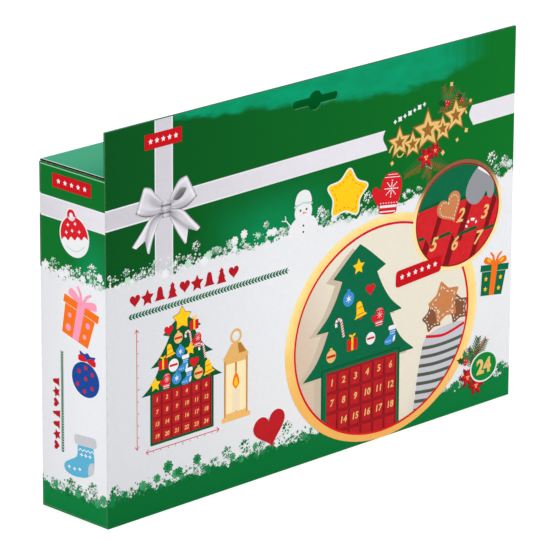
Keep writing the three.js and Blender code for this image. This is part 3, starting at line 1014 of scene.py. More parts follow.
class Motif:
    """A figure on a print. Its shapes are placed, turned and sized as one, and may be cut to a window."""

    def __init__(self, sheet, level, x, y, size=1, turn=0, widen=1, window=None):
        self.sheet = sheet
        self.level = level
        self.place = (x, y, turn, size, widen)
        self.window = window

    def put(self, outline):
        outline = moved(outline, *self.place)
        return cut_to(outline, self.window) if self.window else outline

    def lay(self, colour, rise, *outlines):
        self.sheet.lay(colour, self.level + rise, *[self.put(outline) for outline in outlines])

    def strew(self, colour, rise, shape, places):
        """Copies of one small shape; a place may hold a turn as well."""
        self.lay(colour, rise, *[moved(shape, *place) for place in places])


def dashes(outline, dash, width, closed=True):
    """Short stitches along an outline, as outlines of their own."""
    points = [Vector(point) for point in outline]
    if closed:
        points.append(points[0])
    walked, places = 0, []
    for first, second in zip(points, points[1:]):
        length = (second - first).length
        while length > 0 and walked <= length:
            places.append(first.lerp(second, walked / length))
            walked += dash
        walked -= length
    return [line_band([tuple(places[index]), tuple(places[index + 1])], width)
            for index in range(0, len(places) - 1, 2)]


def dot(x, y, radius, points=12):
    return oval(x, y, radius, radius, points)


def sided(points, side):
    """The points as they are, or mirrored where side is -1."""
    return [(x * side, y) for x, y in points]


def print_star(sheet, level, x, y, radius, turn=0, widen=1):
    figure = Motif(sheet, level, x, y, 1, turn, widen)
    outline = rounded(star(radius, 0.58), radius * 0.2)
    figure.lay("white", 0, grown(outline, radius * 0.06))
    figure.lay("yellow", 1, outline)
    seam = rounded(star(radius * 0.8, 0.58), radius * 0.14)
    sheet.lay("orange", level + 2, *dashes(figure.put(seam), radius * 0.11, radius * 0.03))


MITTEN = [(-0.24, -0.5), (0.24, -0.5), (0.29, -0.3), (0.36, -0.05), (0.37, 0.2), (0.27, 0.42), (0.05, 0.5),
          (-0.17, 0.42), (-0.27, 0.22), (-0.29, 0.06), (-0.42, 0.16), (-0.53, 0.12), (-0.53, -0.04),
          (-0.4, -0.22), (-0.27, -0.36)]


def print_mitten(sheet, level, x, y, height, turn=0, widen=1):
    mitten = Motif(sheet, level, x, y, height, turn, widen)
    mitten.lay("red", 0, smooth_line(MITTEN, 5, closed=True))
    mitten.lay("white", 1, box(-0.255, -0.36, 0.27, -0.3), box(-0.245, -0.47, 0.245, -0.44),
               box(-0.2, 0.37, 0.29, 0.385), box(-0.1, 0.435, 0.2, 0.45))
    beads = [dot(-0.24 + 0.085 * step, -0.245, 0.017, 8) for step in range(7)]
    rays = []
    for index in range(8):
        for shape in (line_band([(0.05, 0), (0.165, 0)], 0.022), dot(0.2, 0, 0.018, 8)):
            rays.append(moved(shape, 0.05, 0.1, 45 * index))
    mitten.lay("white", 1, *beads, *rays, dot(0.05, 0.1, 0.03))


GIFT_BORDER = [(-0.44, -0.5), (0.4, -0.5), (0.46, 0.14), (0.56, 0.14), (0.56, 0.38), (-0.56, 0.38),
               (-0.56, 0.14), (-0.48, 0.14)]


def print_gift(sheet, level, x, y, width, turn, inks, dots=True):
    """A wrapped gift with a bow; inks are the paper, the ribbon and the paper's pattern."""
    paper, ribbon, pattern = inks
    gift = Motif(sheet, level, x, y, width, turn)
    gift.lay("white", 0, grown(GIFT_BORDER, 0.035))
    gift.lay(paper, 1, [(-0.43, -0.48), (0.39, -0.48), (0.46, 0.18), (-0.48, 0.18)],
             box(-0.55, 0.19, 0.55, 0.37))
    gift.lay(ribbon, 2, [(-0.1, -0.48), (0.09, -0.48), (0.11, 0.37), (-0.12, 0.37)])
    for side in (-1, 1):
        loop = sided([(0, 0.37), (0.18, 0.52), (0.38, 0.58), (0.44, 0.44), (0.22, 0.37)], side)
        gift.lay(ribbon, 2, smooth_line(loop, 5, closed=True))
        gift.lay(ribbon, 2, line_band(sided([(0.02, 0.37), (0.1, 0.6), (0.22, 0.7)], side), 0.09, 0.05))
    gift.strew(pattern, 3, oval(0, 0, 0.09, 0.035, 16), ((0.25, 0.48, 30), (-0.25, 0.48, -30)))
    if dots:
        spots = ((-0.29, -0.02, 0.055), (0.28, 0, 0.07), (-0.27, -0.3, 0.08), (0.24, -0.28, 0.055))
        gift.lay(pattern, 2, *[dot(*spot) for spot in spots])
    else:
        gift.strew(pattern, 2, star(0.075), ((-0.29, -0.02), (0.28, 0), (-0.27, -0.3), (0.25, -0.3)))


STOCKING = [(-0.12, 0.3), (0.3, 0.3), (0.3, -0.08), (0.26, -0.34), (0.05, -0.47), (-0.28, -0.5),
            (-0.5, -0.42), (-0.52, -0.24), (-0.33, -0.12), (-0.14, -0.02)]
STOCKING_HEEL = [(0.29, -0.06), (0.26, -0.34), (0.12, -0.43), (0.12, -0.22), (0.18, -0.1)]


def print_stocking(sheet, level, x, y, height, turn, body, cuff, widen=1):
    stocking = Motif(sheet, level, x, y, height, turn, widen)
    stocking.lay(body, 0, rounded(STOCKING, 0.1))
    stocking.lay(cuff, 1, rounded(box(-0.2, 0.26, 0.38, 0.5), 0.09))
    stocking.lay(cuff, 1, rounded(STOCKING_HEEL, 0.06))
    zigzag = [(-0.1 + 0.4 * step / 8, 0.14 + (0.05 if step % 2 else 0)) for step in range(9)]
    stocking.lay("white", 1, line_band(zigzag, 0.025))
    stocking.strew("white", 1, star(0.05, 0.45, 4), (
        (-0.03, 0.05), (0.08, 0.05), (0.19, 0.05), (-0.38, -0.3), (-0.24, -0.32), (-0.1, -0.3)))


BELL = [(0, 0.5), (0.14, 0.44), (0.22, 0.22), (0.27, -0.1), (0.36, -0.28), (0.46, -0.36), (0.3, -0.38),
        (-0.3, -0.38), (-0.46, -0.36), (-0.36, -0.28), (-0.27, -0.1), (-0.22, 0.22), (-0.14, 0.44)]


def print_bell(sheet, level, x, y, height, turn, body, trim):
    bell = Motif(sheet, level, x, y, height, turn)
    bell.lay(trim, 0, dot(0, -0.42, 0.09))
    bell.lay(body, 1, smooth_line(BELL[::-1], 4, closed=True))
    bell.lay(trim, 2, box(-0.3, -0.23, 0.3, -0.19), box(-0.23, 0.12, 0.23, 0.16))


def print_cane(sheet, level, x, y, height, turn, body, stripe):
    cane = Motif(sheet, level, x, y, height, turn)
    hook = [(0.16 * math.cos(math.pi * step / 10), 0.22 + 0.16 * math.sin(math.pi * step / 10))
            for step in range(1, 11)]
    path = [(0.16, -0.5), (0.16, 0.22), *hook, (-0.16, 0.1)]
    cane.lay(body, 0, line_band(path, 0.13))
    slant = [(0.095, 0), (0.225, 0.04), (0.225, 0.095), (0.095, 0.055)]
    cane.strew(stripe, 1, slant, [(0, -0.46 + 0.12 * step) for step in range(6)])
    for first in (3, 6, 9):
        cane.lay(stripe, 1, line_band(path[first:first + 2], 0.131))


def print_heart(sheet, level, x, y, width, turn=0, widen=1):
    figure = Motif(sheet, level, x, y, 1, turn, widen)
    figure.lay("white", 0, grown(heart(width), width * 0.035))
    figure.lay("heart_red", 1, heart(width))


def print_holly(sheet, level, x, y, length, turn=0):
    """Three holly leaves round red berries."""
    for index, angle in enumerate((150, 30, 90)):
        leaf_ink = "leaf" if index else "dark_leaf"
        sheet.lay(leaf_ink, level + index, moved(holly_leaf(length), x, y, turn + angle))
    berry = length * 0.15
    for angle in (0, 120, 240):
        spot = moved([(berry, 0)], x, y, turn + angle)[0]
        sheet.lay("red", level + 3, dot(*spot, berry))
        sheet.lay("white", level + 4, dot(spot[0] - berry * 0.3, spot[1] + berry * 0.35, berry * 0.22, 8))


def print_pine(sheet, level, x, y, length, turn, inks=("dark_leaf", "leaf")):
    """A pine sprig: a stem with needles that get shorter towards its tip; inks are for its two sides."""
    sprig = Motif(sheet, level, x, y, length, turn)
    sprig.lay("brown", 0, line_band([(0, 0), (0.5, 0.03), (0.95, 0)], 0.035, 0.015))
    for side, needle_ink in zip((-1, 1), inks):
        for step in range(9):
            start = 0.06 + step * 0.1
            reach = 0.3 * (1.15 - start * 0.7)
            tip = (start + reach * 0.8, side * reach * 0.75)
            sprig.lay(needle_ink, 1, line_band([(start, 0), tip], 0.035, 0.012))


def print_flower(sheet, level, x, y, radius):
    """A poinsettia: two rings of pointed red leaves round gold beads."""
    for rise, count, reach, offset, tone in ((0, 6, 1, 0, "deep_red"), (1, 5, 0.72, 20, "red")):
        for index in range(count):
            petal = Motif(sheet, level, x, y, radius * reach, offset + 360 * index / count)
            petal.lay(tone, rise, leaf(1, 0.42))
    reach = radius * 0.13
    beads = [dot(x + reach * math.cos(angle), y + reach * math.sin(angle), radius * 0.09, 8)
             for angle in (0.5, 2.6, 4.7)]
    sheet.lay("gold", level + 2, *beads)


# The upper edges of a fir's three boughs, as shares of its half width and height
FIR_BOUGHS = (
    ((0, 1), (0.16, 0.93), (0.32, 0.85), (0.47, 0.775)),
    ((0.31, 0.735), (0.42, 0.6), (0.57, 0.47), (0.77, 0.365)),
    ((0.55, 0.36), (0.66, 0.22), (0.8, 0.1), (1, 0)),
)


def fir_outline(width, height):
    side = []
    for bough in FIR_BOUGHS:
        side += smooth_line([(x * width / 2, y * height) for x, y in bough], 4)
    return side[::-1] + [(-x, y) for x, y in side[1:]]


def print_little_star(sheet, level, x, y, radius):
    sheet.lay("yellow", level, moved(star(radius), x, y))


def print_little_heart(sheet, level, x, y, width):
    sheet.lay("red", level, moved(heart(width), x, y))


def print_little_ball(sheet, level, x, y, radius, body, trim, mark):
    ball = Motif(sheet, level, x, y, radius)
    ball.lay(body, 0, dot(0, 0, 1, 20), box(-0.25, 1, 0.25, 1.3))
    ball.lay(trim, 1, mark)


def print_little_gift(sheet, level, x, y, half):
    gift = Motif(sheet, level, x, y, half)
    gift.lay("red", 0, box(-1, -1, 1, 0.7))
    bow = [moved(oval(side * 0.35, 0, 0.35, 0.16, 12), 0, 1.05, side * 25) for side in (-1, 1)]
    gift.lay("yellow", 1, box(-0.2, -1, 0.2, 1), *bow)


def print_snowball(sheet, level, x, y, radius):
    ball = Motif(sheet, level, x, y, radius)
    ball.lay("white", 0, dot(0, 0, 1, 20))
    ball.lay("red", 1, box(-0.8, -0.15, 0.8, 0.2))


# Ornaments a few millimetres across: the way to draw each, its radius, width or height as a share of
# its size, and its looks
LITTLE_ORNAMENTS = {
    "star": (print_little_star, 0.575),
    "heart": (print_little_heart, 1),
    "bauble": (print_little_ball, 0.5, "blue", "white", star(0.6, 0.3, 6)),
    "gold_bauble": (print_little_ball, 0.5, "gold", "red", box(-0.9, -0.2, 0.9, 0.2)),
    "mitten": (print_mitten, 1.2),
    "bell": (print_bell, 1.2, 10, "yellow", "red"),
    "cane": (print_cane, 1.4, 12, "white", "red"),
    "gift": (print_little_gift, 0.5),
    "stocking": (print_stocking, 1.25, 0, "blue", "white"),
    "snowball": (print_snowball, 0.5),
}


def print_little_ornament(sheet, level, kind, x, y, size):
    draw, share, *looks = LITTLE_ORNAMENTS[kind]
    draw(sheet, level, x, y, size * share, *looks)


def print_pockets(sheet, level, low, high, columns, rows, window=None, figure=0.34):
    """A block of sewn pockets with plain numbers, each with a shadowed mouth and side."""
    wide = (high[0] - low[0]) / columns
    tall = (high[1] - low[1]) / rows

    def cut(outline):
        return cut_to(outline, window) if window else outline

    sheet.lay("deep_red", level, cut(box(*low, *high)))
    for index in range(rows * columns):
        row, column = divmod(index, columns)
        x0 = low[0] + column * wide
        y0 = high[1] - (row + 1) * tall

        def inside(*corners):
            return [(x0 + wide * x, y0 + tall * y) for x, y in corners]

        pocket = inside((0.05, 0.06), (0.9, 0.06), (0.94, 0.86), (0.03, 0.9))
        shade = inside((0.8, 0.06), (0.9, 0.06), (0.94, 0.86), (0.87, 0.86))
        sheet.lay("pocket_red", level + 1, cut(rounded(pocket, wide * 0.06, 2)))
        sheet.lay("pocket_shade", level + 2, cut(shade))
        x, y = inside((0.44, 0.45))[0]
        corners = ((x - tall * 0.4, y - tall * 0.3), (x + tall * 0.4, y - tall * 0.3), (x, y + tall * 0.3))
        if window is None or all(len(cut_to(dot(*corner, 0.2), window)) > 2 for corner in corners):
            sheet.number("gold", level + 3, index + 1, x, y, tall * figure, lean=0.15)


# Snow crystals along the edges of the printed snow

LARGE_FLAKES = [
    pattern_of("flake_a", [crystal(1)]),
    pattern_of("flake_b", [crystal(1, twigs=((0.55, 0.34),), bar=0.09, hub=0.24)]),
    pattern_of("flake_c", petal_crystal(1)),
    pattern_of("flake_d", petal_crystal(1, 6)),
]
SMALL_FLAKES = [
    pattern_of("small_flake_a", [star(1, 0.4, 6)]),
    pattern_of("small_flake_b", [crystal(1, twigs=(), bar=0.13, hub=0.34)]),
    pattern_of("small_flake_c", [crystal(1, twigs=((0.5, 0.36),), bar=0.12, hub=0.2)]),
]
FLECK = pattern_of("fleck", [star(1, 0.6, 4)])
LARGE_FLAKE = 2
FLAKE_SPACING = 1.7
FLAKE_MARGIN = 0.4
FULL_TONE_SHARE = 0.6
FLECKS_PER_FLAKE = 1.8


def strew_flakes(sheet, draw, width, heights, inks, sizes):
    """Snow crystals strewn along a border; inks are a pale one and a full one."""
    low, high = heights
    place = 0
    while place < width:
        size = sizes[0] + (sizes[1] - sizes[0]) * draw.random() ** 1.7
        margin = size + FLAKE_MARGIN
        u = min(max(place + draw.uniform(-1, 1) * FLAKE_SPACING * 0.5, margin), width - margin)
        v = low + (high - low) * draw.random() ** 1.5
        full = draw.random() < FULL_TONE_SHARE
        pattern = draw.choice(LARGE_FLAKES if size > LARGE_FLAKE else SMALL_FLAKES)
        sheet.stamp(pattern, inks[full], 1 + full, u, v, size, draw.uniform(0, 60))
        place += FLAKE_SPACING
    for _ in range(int(width / FLAKE_SPACING * FLECKS_PER_FLAKE)):
        size = draw.uniform(0.3, 0.8)
        u = draw.uniform(1.5, width - 1.5)
        v = low + (high - low) * draw.uniform(-0.4, 1.2)
        sheet.stamp(FLECK, inks[1], 2, u, v, size, draw.uniform(0, 90))


def print_snow(face, seed, white_flakes, green_flakes):
    """White crystals over the snow's upper edge and green ones under its lower edge, and loose ones."""
    page = PAGES[face]
    draw = random.Random(seed)
    sheet = Print(f"{face}_snowflakes", face)
    top, low = page["snow_top"], page["snow_low"]
    strew_flakes(sheet, draw, page["width"], (top - 1, top + 6), ("pale_snow", "white"), (0.9, 3))
    strew_flakes(sheet, draw, page["width"], (low - 1.5, low + 4.6), ("pale_green_flake", "green_flake"),
                 (0.9, 3.1))
    for ink_name, flakes in (("white", white_flakes), ("green_flake", green_flakes)):
        for flake in flakes:
            sheet.stamp(draw.choice(LARGE_FLAKES[:3]), ink_name, 2, *flake, draw.uniform(0, 60))
    sheet.finish()


print_snow("front", 11, (
    (62, 138.5, 3), (96, 137.5, 2.6), (187, 138, 3.6), (233, 146, 3.2), (283, 140, 4.2), (293, 137, 3),
    (112, 139, 2.2), (152, 138, 3),
), (
    (42, 23.5, 3.6), (62.5, 22.5, 3), (97, 21, 4.2), (84, 20.5, 4), (128, 23.5, 4), (5, 19, 4),
    (262, 18, 3), (292, 17.5, 3.4),
))
print_snow("left", 12, ((39.5, 136.5, 3.8), (22, 132, 4.2)), ((39, 19, 3.8), (22, 17, 4)))
print_snow("right", 13, ((12, 137, 3.6), (30, 134, 4)), ((14, 20, 3.6), (33, 18, 3.8)))
print_snow("back", 14, ((40, 138, 3.4), (110, 139, 3), (170, 138, 3.8), (215, 137, 3)),
           ((60, 22, 3.6), (140, 23, 3.2), (205, 22, 4), (262, 22, 3.4)))


# The printed satin bow

SATIN_TONES = ((0, (58, 54, 58)), (1, (232, 230, 236)), (0.35, (124, 120, 126)), (0.7, (186, 184, 190)))
SATIN_COLUMNS = 26
SATIN_ROWS = 14


def satin_ink():
    """Silver-white satin whose tone comes from the fold value stored on the print's points."""
    finish = Finish("satin_ink")
    fold = finish.node("Attribute", "Fac", {}, attribute_name="fold")
    tones = finish.tree.nodes.new("ShaderNodeValToRGB")
    stops = tones.color_ramp.elements
    for index, (position, colour) in enumerate(SATIN_TONES):
        stop = stops[index] if index < 2 else stops.new(position)
        stop.position = position
        stop.color = rgb(*colour)
    sheen = finish.scaled(finish.noise(5, 3, stretch=(1, 1, 3)), -0.05, 0.05)
    finish.feed(tones.inputs["Fac"], finish.plus(fold, sheen))
    laminate(finish, tones.outputs["Color"])
    return finish.material


def satin_patch(sheet, material, level, low_edge, high_edge, fold):
    """A printed patch of satin between two edges; fold(s, t) is its tone, s along it and t across."""
    thickness = (sheet.above + level) * INK * MM
    low_line = even_line(low_edge, SATIN_COLUMNS)
    high_line = even_line(high_edge, SATIN_COLUMNS)
    bpy.ops.object.select_all(action="DESELECT")
    bpy.ops.mesh.primitive_grid_add(x_subdivisions=SATIN_COLUMNS, y_subdivisions=SATIN_ROWS, size=1)
    part = bpy.context.object
    tone = part.data.attributes.new("fold", "FLOAT", "POINT")
    for vertex in part.data.vertices:
        s, t = vertex.co.x + 0.5, vertex.co.y + 0.5
        index = min(round(s * SATIN_COLUMNS), SATIN_COLUMNS)
        spot = low_line[index].lerp(high_line[index], t)
        tone.data[vertex.index].value = fold(s, t)
        vertex.co = (spot.x * MM, spot.y * MM, thickness)
    part.data.update()
    if part.data.polygons[0].normal.z < 0:
        part.data.flip_normals()
    solid = part.modifiers.new("thickness", "SOLIDIFY")
    solid.thickness = thickness
    solid.offset = -1
    pick(part)
    bpy.ops.object.modifier_apply(modifier="thickness")
    colour_with(part.data, material)
    sheet.parts.append(part)


def even_line(points, steps):
    """Points at even distances along a smooth line through the given ones."""
    line = [Vector(point) for point in smooth_line(points, 10)]
    lengths = [0]
    for first, second in zip(line, line[1:]):
        lengths.append(lengths[-1] + (second - first).length)
    result = []
    index = 0
    for step in range(steps + 1):
        target = lengths[-1] * step / steps
        while index < len(line) - 2 and lengths[index + 1] < target:
            index += 1
        part = (target - lengths[index]) / max(lengths[index + 1] - lengths[index], 1e-9)
        result.append(line[index].lerp(line[index + 1], min(part, 1)))
    return result


def hump(value, middle, spread):
    return math.exp(-((value - middle) / spread) ** 2)


def hemmed(tone, s, t):
    """The ribbon's rolled edges are dark outside and catch the light inside."""
    dark = 0.55 * (hump(t, 0, 0.04) + 0.8 * hump(t, 1, 0.04) + 0.8 * hump(s, 1, 0.03))
    light = 0.14 * (hump(t, 0.12, 0.05) + hump(t, 0.88, 0.05) + hump(s, 0.92, 0.03))
    return tone - dark + light


def loop_fold(s, t):
    creases = 0.5 * hump(t, 0.52, 0.12) + 0.4 * hump(t, 0.2, 0.07) + 0.3 * hump(t, 0.82, 0.06)
    gather = math.exp(-s / 0.34) * creases
    under = 0.34 * hump(t, 0.08, 0.12) * hump(s, 0.55, 0.35)
    sweep = 0.2 * hump(t, 0.68, 0.14) * hump(s, 0.5, 0.3)
    return hemmed(0.84 + 0.08 * s - gather - under - sweep, s, t)


def tail_fold(s, t):
    gather = 0.55 * math.exp(-s / 0.2) * (0.5 + hump(t, 0.5, 0.25))
    sweep = 0.3 * hump(t + s * 0.55, 0.86, 0.11) + 0.16 * hump(t, 0.3, 0.13) * s
    return hemmed(0.92 - gather - sweep + 0.04 * s, 0, t)


def right_tail_fold(s, t):
    return tail_fold(s, 1 - t)


def opening_fold(s, t):
    return 0.26 + 0.3 * t - 0.14 * hump(s, 0.5, 0.4)


def knot_fold(s, t):
    dark = 0.5 * hump(t, 0.5, 0.1) + 0.25 * abs(2 * s - 1) ** 4 + 0.3 * hump(t, 0, 0.08)
    return 0.72 - dark + 0.12 * hump(s, 0.4, 0.2)


# The bow's patches on the front: level, lower edge, upper edge and the way it is folded.
# They are the two tails, the two loops, the right loop's opening, and the knot's end and wrap
BOW_PATCHES = (
    (3, [(39, 160.5), (36, 157), (32, 149), (29.5, 141.4)],
     [(37.5, 162), (30, 160), (23, 153), (17.4, 147.4)], tail_fold),
    (3, [(42, 160.5), (46.5, 152.5), (50, 147), (54, 141.4)],
     [(43.5, 162), (52, 160.5), (59, 154), (65, 148.2)], right_tail_fold),
    (4, [(39.5, 163), (33, 161), (26, 161.6), (20, 164.4)],
     [(39.5, 166.5), (34, 172), (30.5, 176), (25.8, 177.4)], loop_fold),
    (4, [(42.5, 163), (49, 161), (56, 161.4), (62.6, 165.4)],
     [(42.5, 166.5), (47, 173), (50.5, 176.6), (55.6, 177.8)], loop_fold),
    (5, [(46, 166.8), (49, 166), (52.5, 167.4), (55.2, 170.6)],
     [(46, 167.4), (48.6, 170), (51.5, 172), (55, 171.6)], opening_fold),
    (6, [(38.2, 158.6), (43.6, 158.4)], [(38.4, 163.6), (43.8, 163.4)], knot_fold),
    (7, [(37.4, 162.6), (41, 162), (44.6, 162.4)], [(37.8, 167.2), (41, 167.8), (44.6, 167)], knot_fold),
)
TAIL_NOTCHES = ([(19.2, 145.4), (28.6, 140.2), (26.4, 149)], [(63.4, 146.2), (54.8, 140), (56.4, 149.2)])
SATIN = satin_ink()


def print_bow(name, face, mirrored_at=None):
    """The bow at its place on the front, or mirrored onto another face of the given width."""
    sheet = Print(name, face, 1)

    def put(points):
        return [(mirrored_at - x, y) for x, y in points] if mirrored_at else points

    def mirrored(fold):
        return lambda s, t: fold(s, 1 - t)

    for level, low_edge, high_edge, fold in BOW_PATCHES:
        if mirrored_at:
            low_edge, high_edge, fold = high_edge, low_edge, mirrored(fold)
        satin_patch(sheet, SATIN, level, put(low_edge), put(high_edge), fold)
    for notch in TAIL_NOTCHES:
        sheet.lay("ground_green", 4, put(notch) if mirrored_at else notch[::-1])
    sheet.finish()


# Labels, emblem, rows of small shapes and arrows


def print_label(sheet, x0, y0, x1, y1):
    """A plain red plate with a row of white stars."""
    sheet.lay("label_red", 5, box(x0, y0, x1, y1))
    plain_star = star((y1 - y0) * 0.2)
    sheet.lay("white", 6, *[moved(plain_star, x0 + (x1 - x0) * (0.16 + 0.17 * step), (y0 + y1) / 2)
                            for step in range(5)])


# Pieces of the emblem, each at a place from its middle: sprigs with a length and a turn, swirls with a
# side, then stars and gold flecks with a radius
EMBLEM_SPRIGS = ((8, 10, 20, 28), (12, 8, 18, 62), (22, 13, 13, -8), (-2, -15, 17, 196), (2, -16, 17, -22),
                 (0, -16, 14, -84), (14, 10, 15, 100), (4, -14, 13, 230))
EMBLEM_SWIRLS = ((-30, -6, 1), (31, 4, -1))
EMBLEM_STARS = ((-11.5, -3.5, 8.2), (11.5, 0.5, 8.4), (-21.5, -0.5, 9.6), (0, 2, 12.5), (21.5, 6, 10.2))
EMBLEM_FLECKS = ((-27, -11, 1.5), (12, -13, 1.7), (23, -8, 1.4), (30, -4, 1.7), (33, 12, 1.3), (18, 24, 1.6))


def print_emblem(sheet, x, y):
    """Gold stars among pine and holly, where the ribbon gives way."""
    needles = ("leaf", "bronze")
    for dx, dy, length, turn in EMBLEM_SPRIGS:
        needles = needles[::-1]
        print_pine(sheet, 3, x + dx, y + dy, length, turn, needles)
    for dx, dy, side in EMBLEM_SWIRLS:
        swirl = []
        for step in range(26):
            angle = math.radians(200 + 330 * step / 25)
            reach = 1.2 + 6 * step / 25
            swirl.append((x + dx + side * (8 + reach * math.cos(angle)), y + dy + reach * math.sin(angle)))
        sheet.lay("gold", 4, line_band(swirl, 0.5, 1.1))
    for dx, dy, radius in EMBLEM_STARS:
        for level, ink_name, share in ((5, "bronze", 1), (6, "gold", 0.84), (7, "bronze", 0.42)):
            sheet.lay(ink_name, level, moved(star(radius * share, 0.46), x + dx, y + dy))
    print_flower(sheet, 8, x - 1, y - 13, 7)
    print_flower(sheet, 8, x + 6, y - 10.5, 5)
    print_holly(sheet, 8, x + 15, y + 14, 7.5, 20)
    print_holly(sheet, 8, x + 26, y + 13.5, 5.5, -30)
    for step in range(7):
        size = 1.9 if step % 2 else 1.3
        sheet.stamp(FLECK, "white", 4, x - 25 + 3.7 * step, y + 11.5 + 0.9 * step, size, 45 * step)
    for dx, dy, size in EMBLEM_FLECKS:
        sheet.stamp(FLECK, "gold", 4, x + dx, y + dy, size, dx * 7)


def print_title_row(sheet, x0, x1, y, height, upright=False):
    """A row of small plain ornaments in one colour."""
    figures = (
        heart(height * 0.86),
        rounded(star(height * 0.56), 0.4),
        moved(BELL, size=height),
        moved(fir_outline(0.86, 1), 0, -0.45 * height, size=height),
    )
    count = round((x1 - x0) / height)
    for index in range(count):
        along = x0 + (x1 - x0) / count * (index + 0.5)
        place = (y, along, 90) if upright else (along, y, 0)
        sheet.lay("title_red", 2, moved(figures[index % 4], *place))


def print_leaf_row(sheet, x0, x1, y, length, upright=False):
    stem = [(x0, y), (x1, y)]
    pitch = length * 0.85
    sprigs = []
    for index in range(int((x1 - x0) / pitch)):
        for side in (-1, 1):
            place = (x0 + pitch * index + 0.3, y + side * 0.12, side * 34)
            sprigs.append(moved(leaf(length, length * 0.42), *place))
    if upright:
        stem = [(py, px) for px, py in stem]
        sprigs = [[(py, px) for px, py in sprig][::-1] for sprig in sprigs]
    for outline in (line_band(stem, 0.3), *sprigs):
        sheet.lay("tree_green", 2, outline)


def print_size_arrow(sheet, start, end):
    """A thin red arrow with a head at both ends and ticks along it."""
    start, end = Vector(start), Vector(end)
    way = (end - start).normalized()
    side = Vector((-way.y, way.x))
    sheet.lay("red", 2, line_band([start, end], 0.42))
    for tip, back in ((start, way), (end, -way)):
        for lean in (-1, 1):
            sheet.lay("red", 2, line_band([tip, tip + back * 1.9 + side * lean * 1.4], 0.42))
    ticks = []
    for step in range(1, 10):
        middle = start + (end - start) * step / 10
        reach = 1.5 if step == 5 else 0.8
        ticks.append(line_band([middle + side * 0.5, middle + side * (0.5 + reach)], 0.35))
    sheet.lay("tree_green", 2, *ticks)


# The printed calendar, the lantern and the snowman


# Ornaments on the small printed tree: kind, place from the calendar's lower left corner, and size
CALENDAR_ORNAMENTS = (
    ("heart", 18.6, 59.6, 6.2), ("gift", 36.6, 59.4, 6), ("gold_bauble", 25.4, 54.4, 6),
    ("cane", 32.4, 52.8, 7), ("mitten", 38.8, 50.4, 6.2), ("bell", 19.4, 48.8, 6.4),
    ("bauble", 26.8, 46.6, 6.2), ("star", 33.8, 46.4, 6.6), ("cane", 42, 43.6, 7),
    ("gift", 14.6, 42.8, 6), ("snowball", 22, 40.4, 7), ("stocking", 29.6, 39.8, 7),
    ("heart", 36.6, 38.4, 6.4), ("bell", 46.6, 33.4, 7.4), ("star", 9.2, 32.8, 7),
    ("mitten", 16.8, 33, 6.8), ("bauble", 24.2, 32.8, 6.6), ("stocking", 32, 32.2, 7),
    ("gold_bauble", 39.6, 32, 6.4),
)


def print_calendar(sheet, x, y, size=1):
    """A felt tree over a block of pockets; x and y are its lower left corner."""
    def spot(px, py):
        return x + px * size, y + py * size

    sheet.lay("tree_dark", 2, moved(rounded(box(5.6, 0, 50.4, 30.5), 0.8), x, y, size=size))
    sheet.lay("tree_dark", 3, moved(fir_outline(57, 39), *spot(28, 28), size=size))
    print_pockets(sheet, 4, spot(7.2, 1.4), spot(48.8, 28), 6, 4)
    for kind, px, py, across in CALENDAR_ORNAMENTS:
        print_little_ornament(sheet, 4, kind, *spot(px, py), across * size)
    for level, ink_name, radius in ((8, "bronze", 7), (9, "yellow", 6.5)):
        sheet.lay(ink_name, level, moved(rounded(star(radius * size, 0.56), 0.8), *spot(28, 64.4)))


def shaded_gold(name, face, low, high, top_tone, foot_tone):
    """Gold that runs from one tone to another up the face."""
    finish = Finish(name)
    height = finish.along(*FACES[face][::2])
    ripple = finish.scaled(finish.noise(5, 2), -2.5, 2.5)
    share = finish.ramp(finish.plus(height, ripple), low, high)
    laminate(finish, finish.mix(share, rgb(*foot_tone), rgb(*top_tone)))
    return finish.material


def print_lantern(sheet, x, y):
    """A gold lantern with a candle behind its two panes."""
    face = sheet.face
    metal = shaded_gold(f"{face}_lantern_gold", face, y, y + 45, (226, 176, 104), (240, 186, 108))
    shadow = shaded_gold(f"{face}_lantern_shade", face, y, y + 45, (176, 118, 54), (190, 128, 60))
    flame = [(0, 26.2), (2.5, 20.6), (0, 17.4), (-2.5, 20.6)]
    flame_core = [(0, 23.6), (1.3, 20.2), (0, 18.2), (-1.3, 20.2)]
    lantern = Motif(sheet, 2, x, y)
    lantern.lay(metal, 0, rounded(box(-10.4, 0, 10.4, 2.6), 1), rounded(box(-9, 33.6, 9, 36), 0.8))
    lantern.lay(metal, 0, rounded(box(-8.4, 2.6, 8.4, 33.6), 0.6))
    for near, far in ((-7, -0.7), (0.7, 7)):
        lantern.lay("lantern_glass", 1, rounded(box(near, 4.4, far, 31.6), 0.9))
    lantern.lay(metal, 0, [(-8.2, 36), (8.2, 36), (3.4, 42.2), (-3.4, 42.2)])
    lantern.lay(shadow, 1, [(2.2, 36.2), (7.4, 36.2), (3.2, 41.8), (1.2, 41.8)])
    lantern.lay(metal, 0, oval(0, 46, 4.1, 4.1, 32), oval(0, 46, 2.7, 2.7, 28)[::-1])
    lantern.lay("candle", 2, box(-2.7, 4.4, 2.7, 17))
    lantern.lay("orange", 3, smooth_line(flame[::-1], 6, closed=True))
    lantern.lay("yellow", 4, smooth_line(flame_core[::-1], 5, closed=True))
    lantern.lay(shadow, 1, box(-8.4, 2.6, -7.6, 33.6), box(7.6, 2.6, 8.4, 33.6))
    lantern.lay(shadow, 3, box(-0.5, 26.6, 0.5, 31.6), box(-0.35, 4.4, 0.35, 5))


SNOWMAN_HAT = [(-0.27, 0.27), (-0.2, 0.52), (0, 0.6), (0.2, 0.52), (0.27, 0.27), (0, 0.33)]


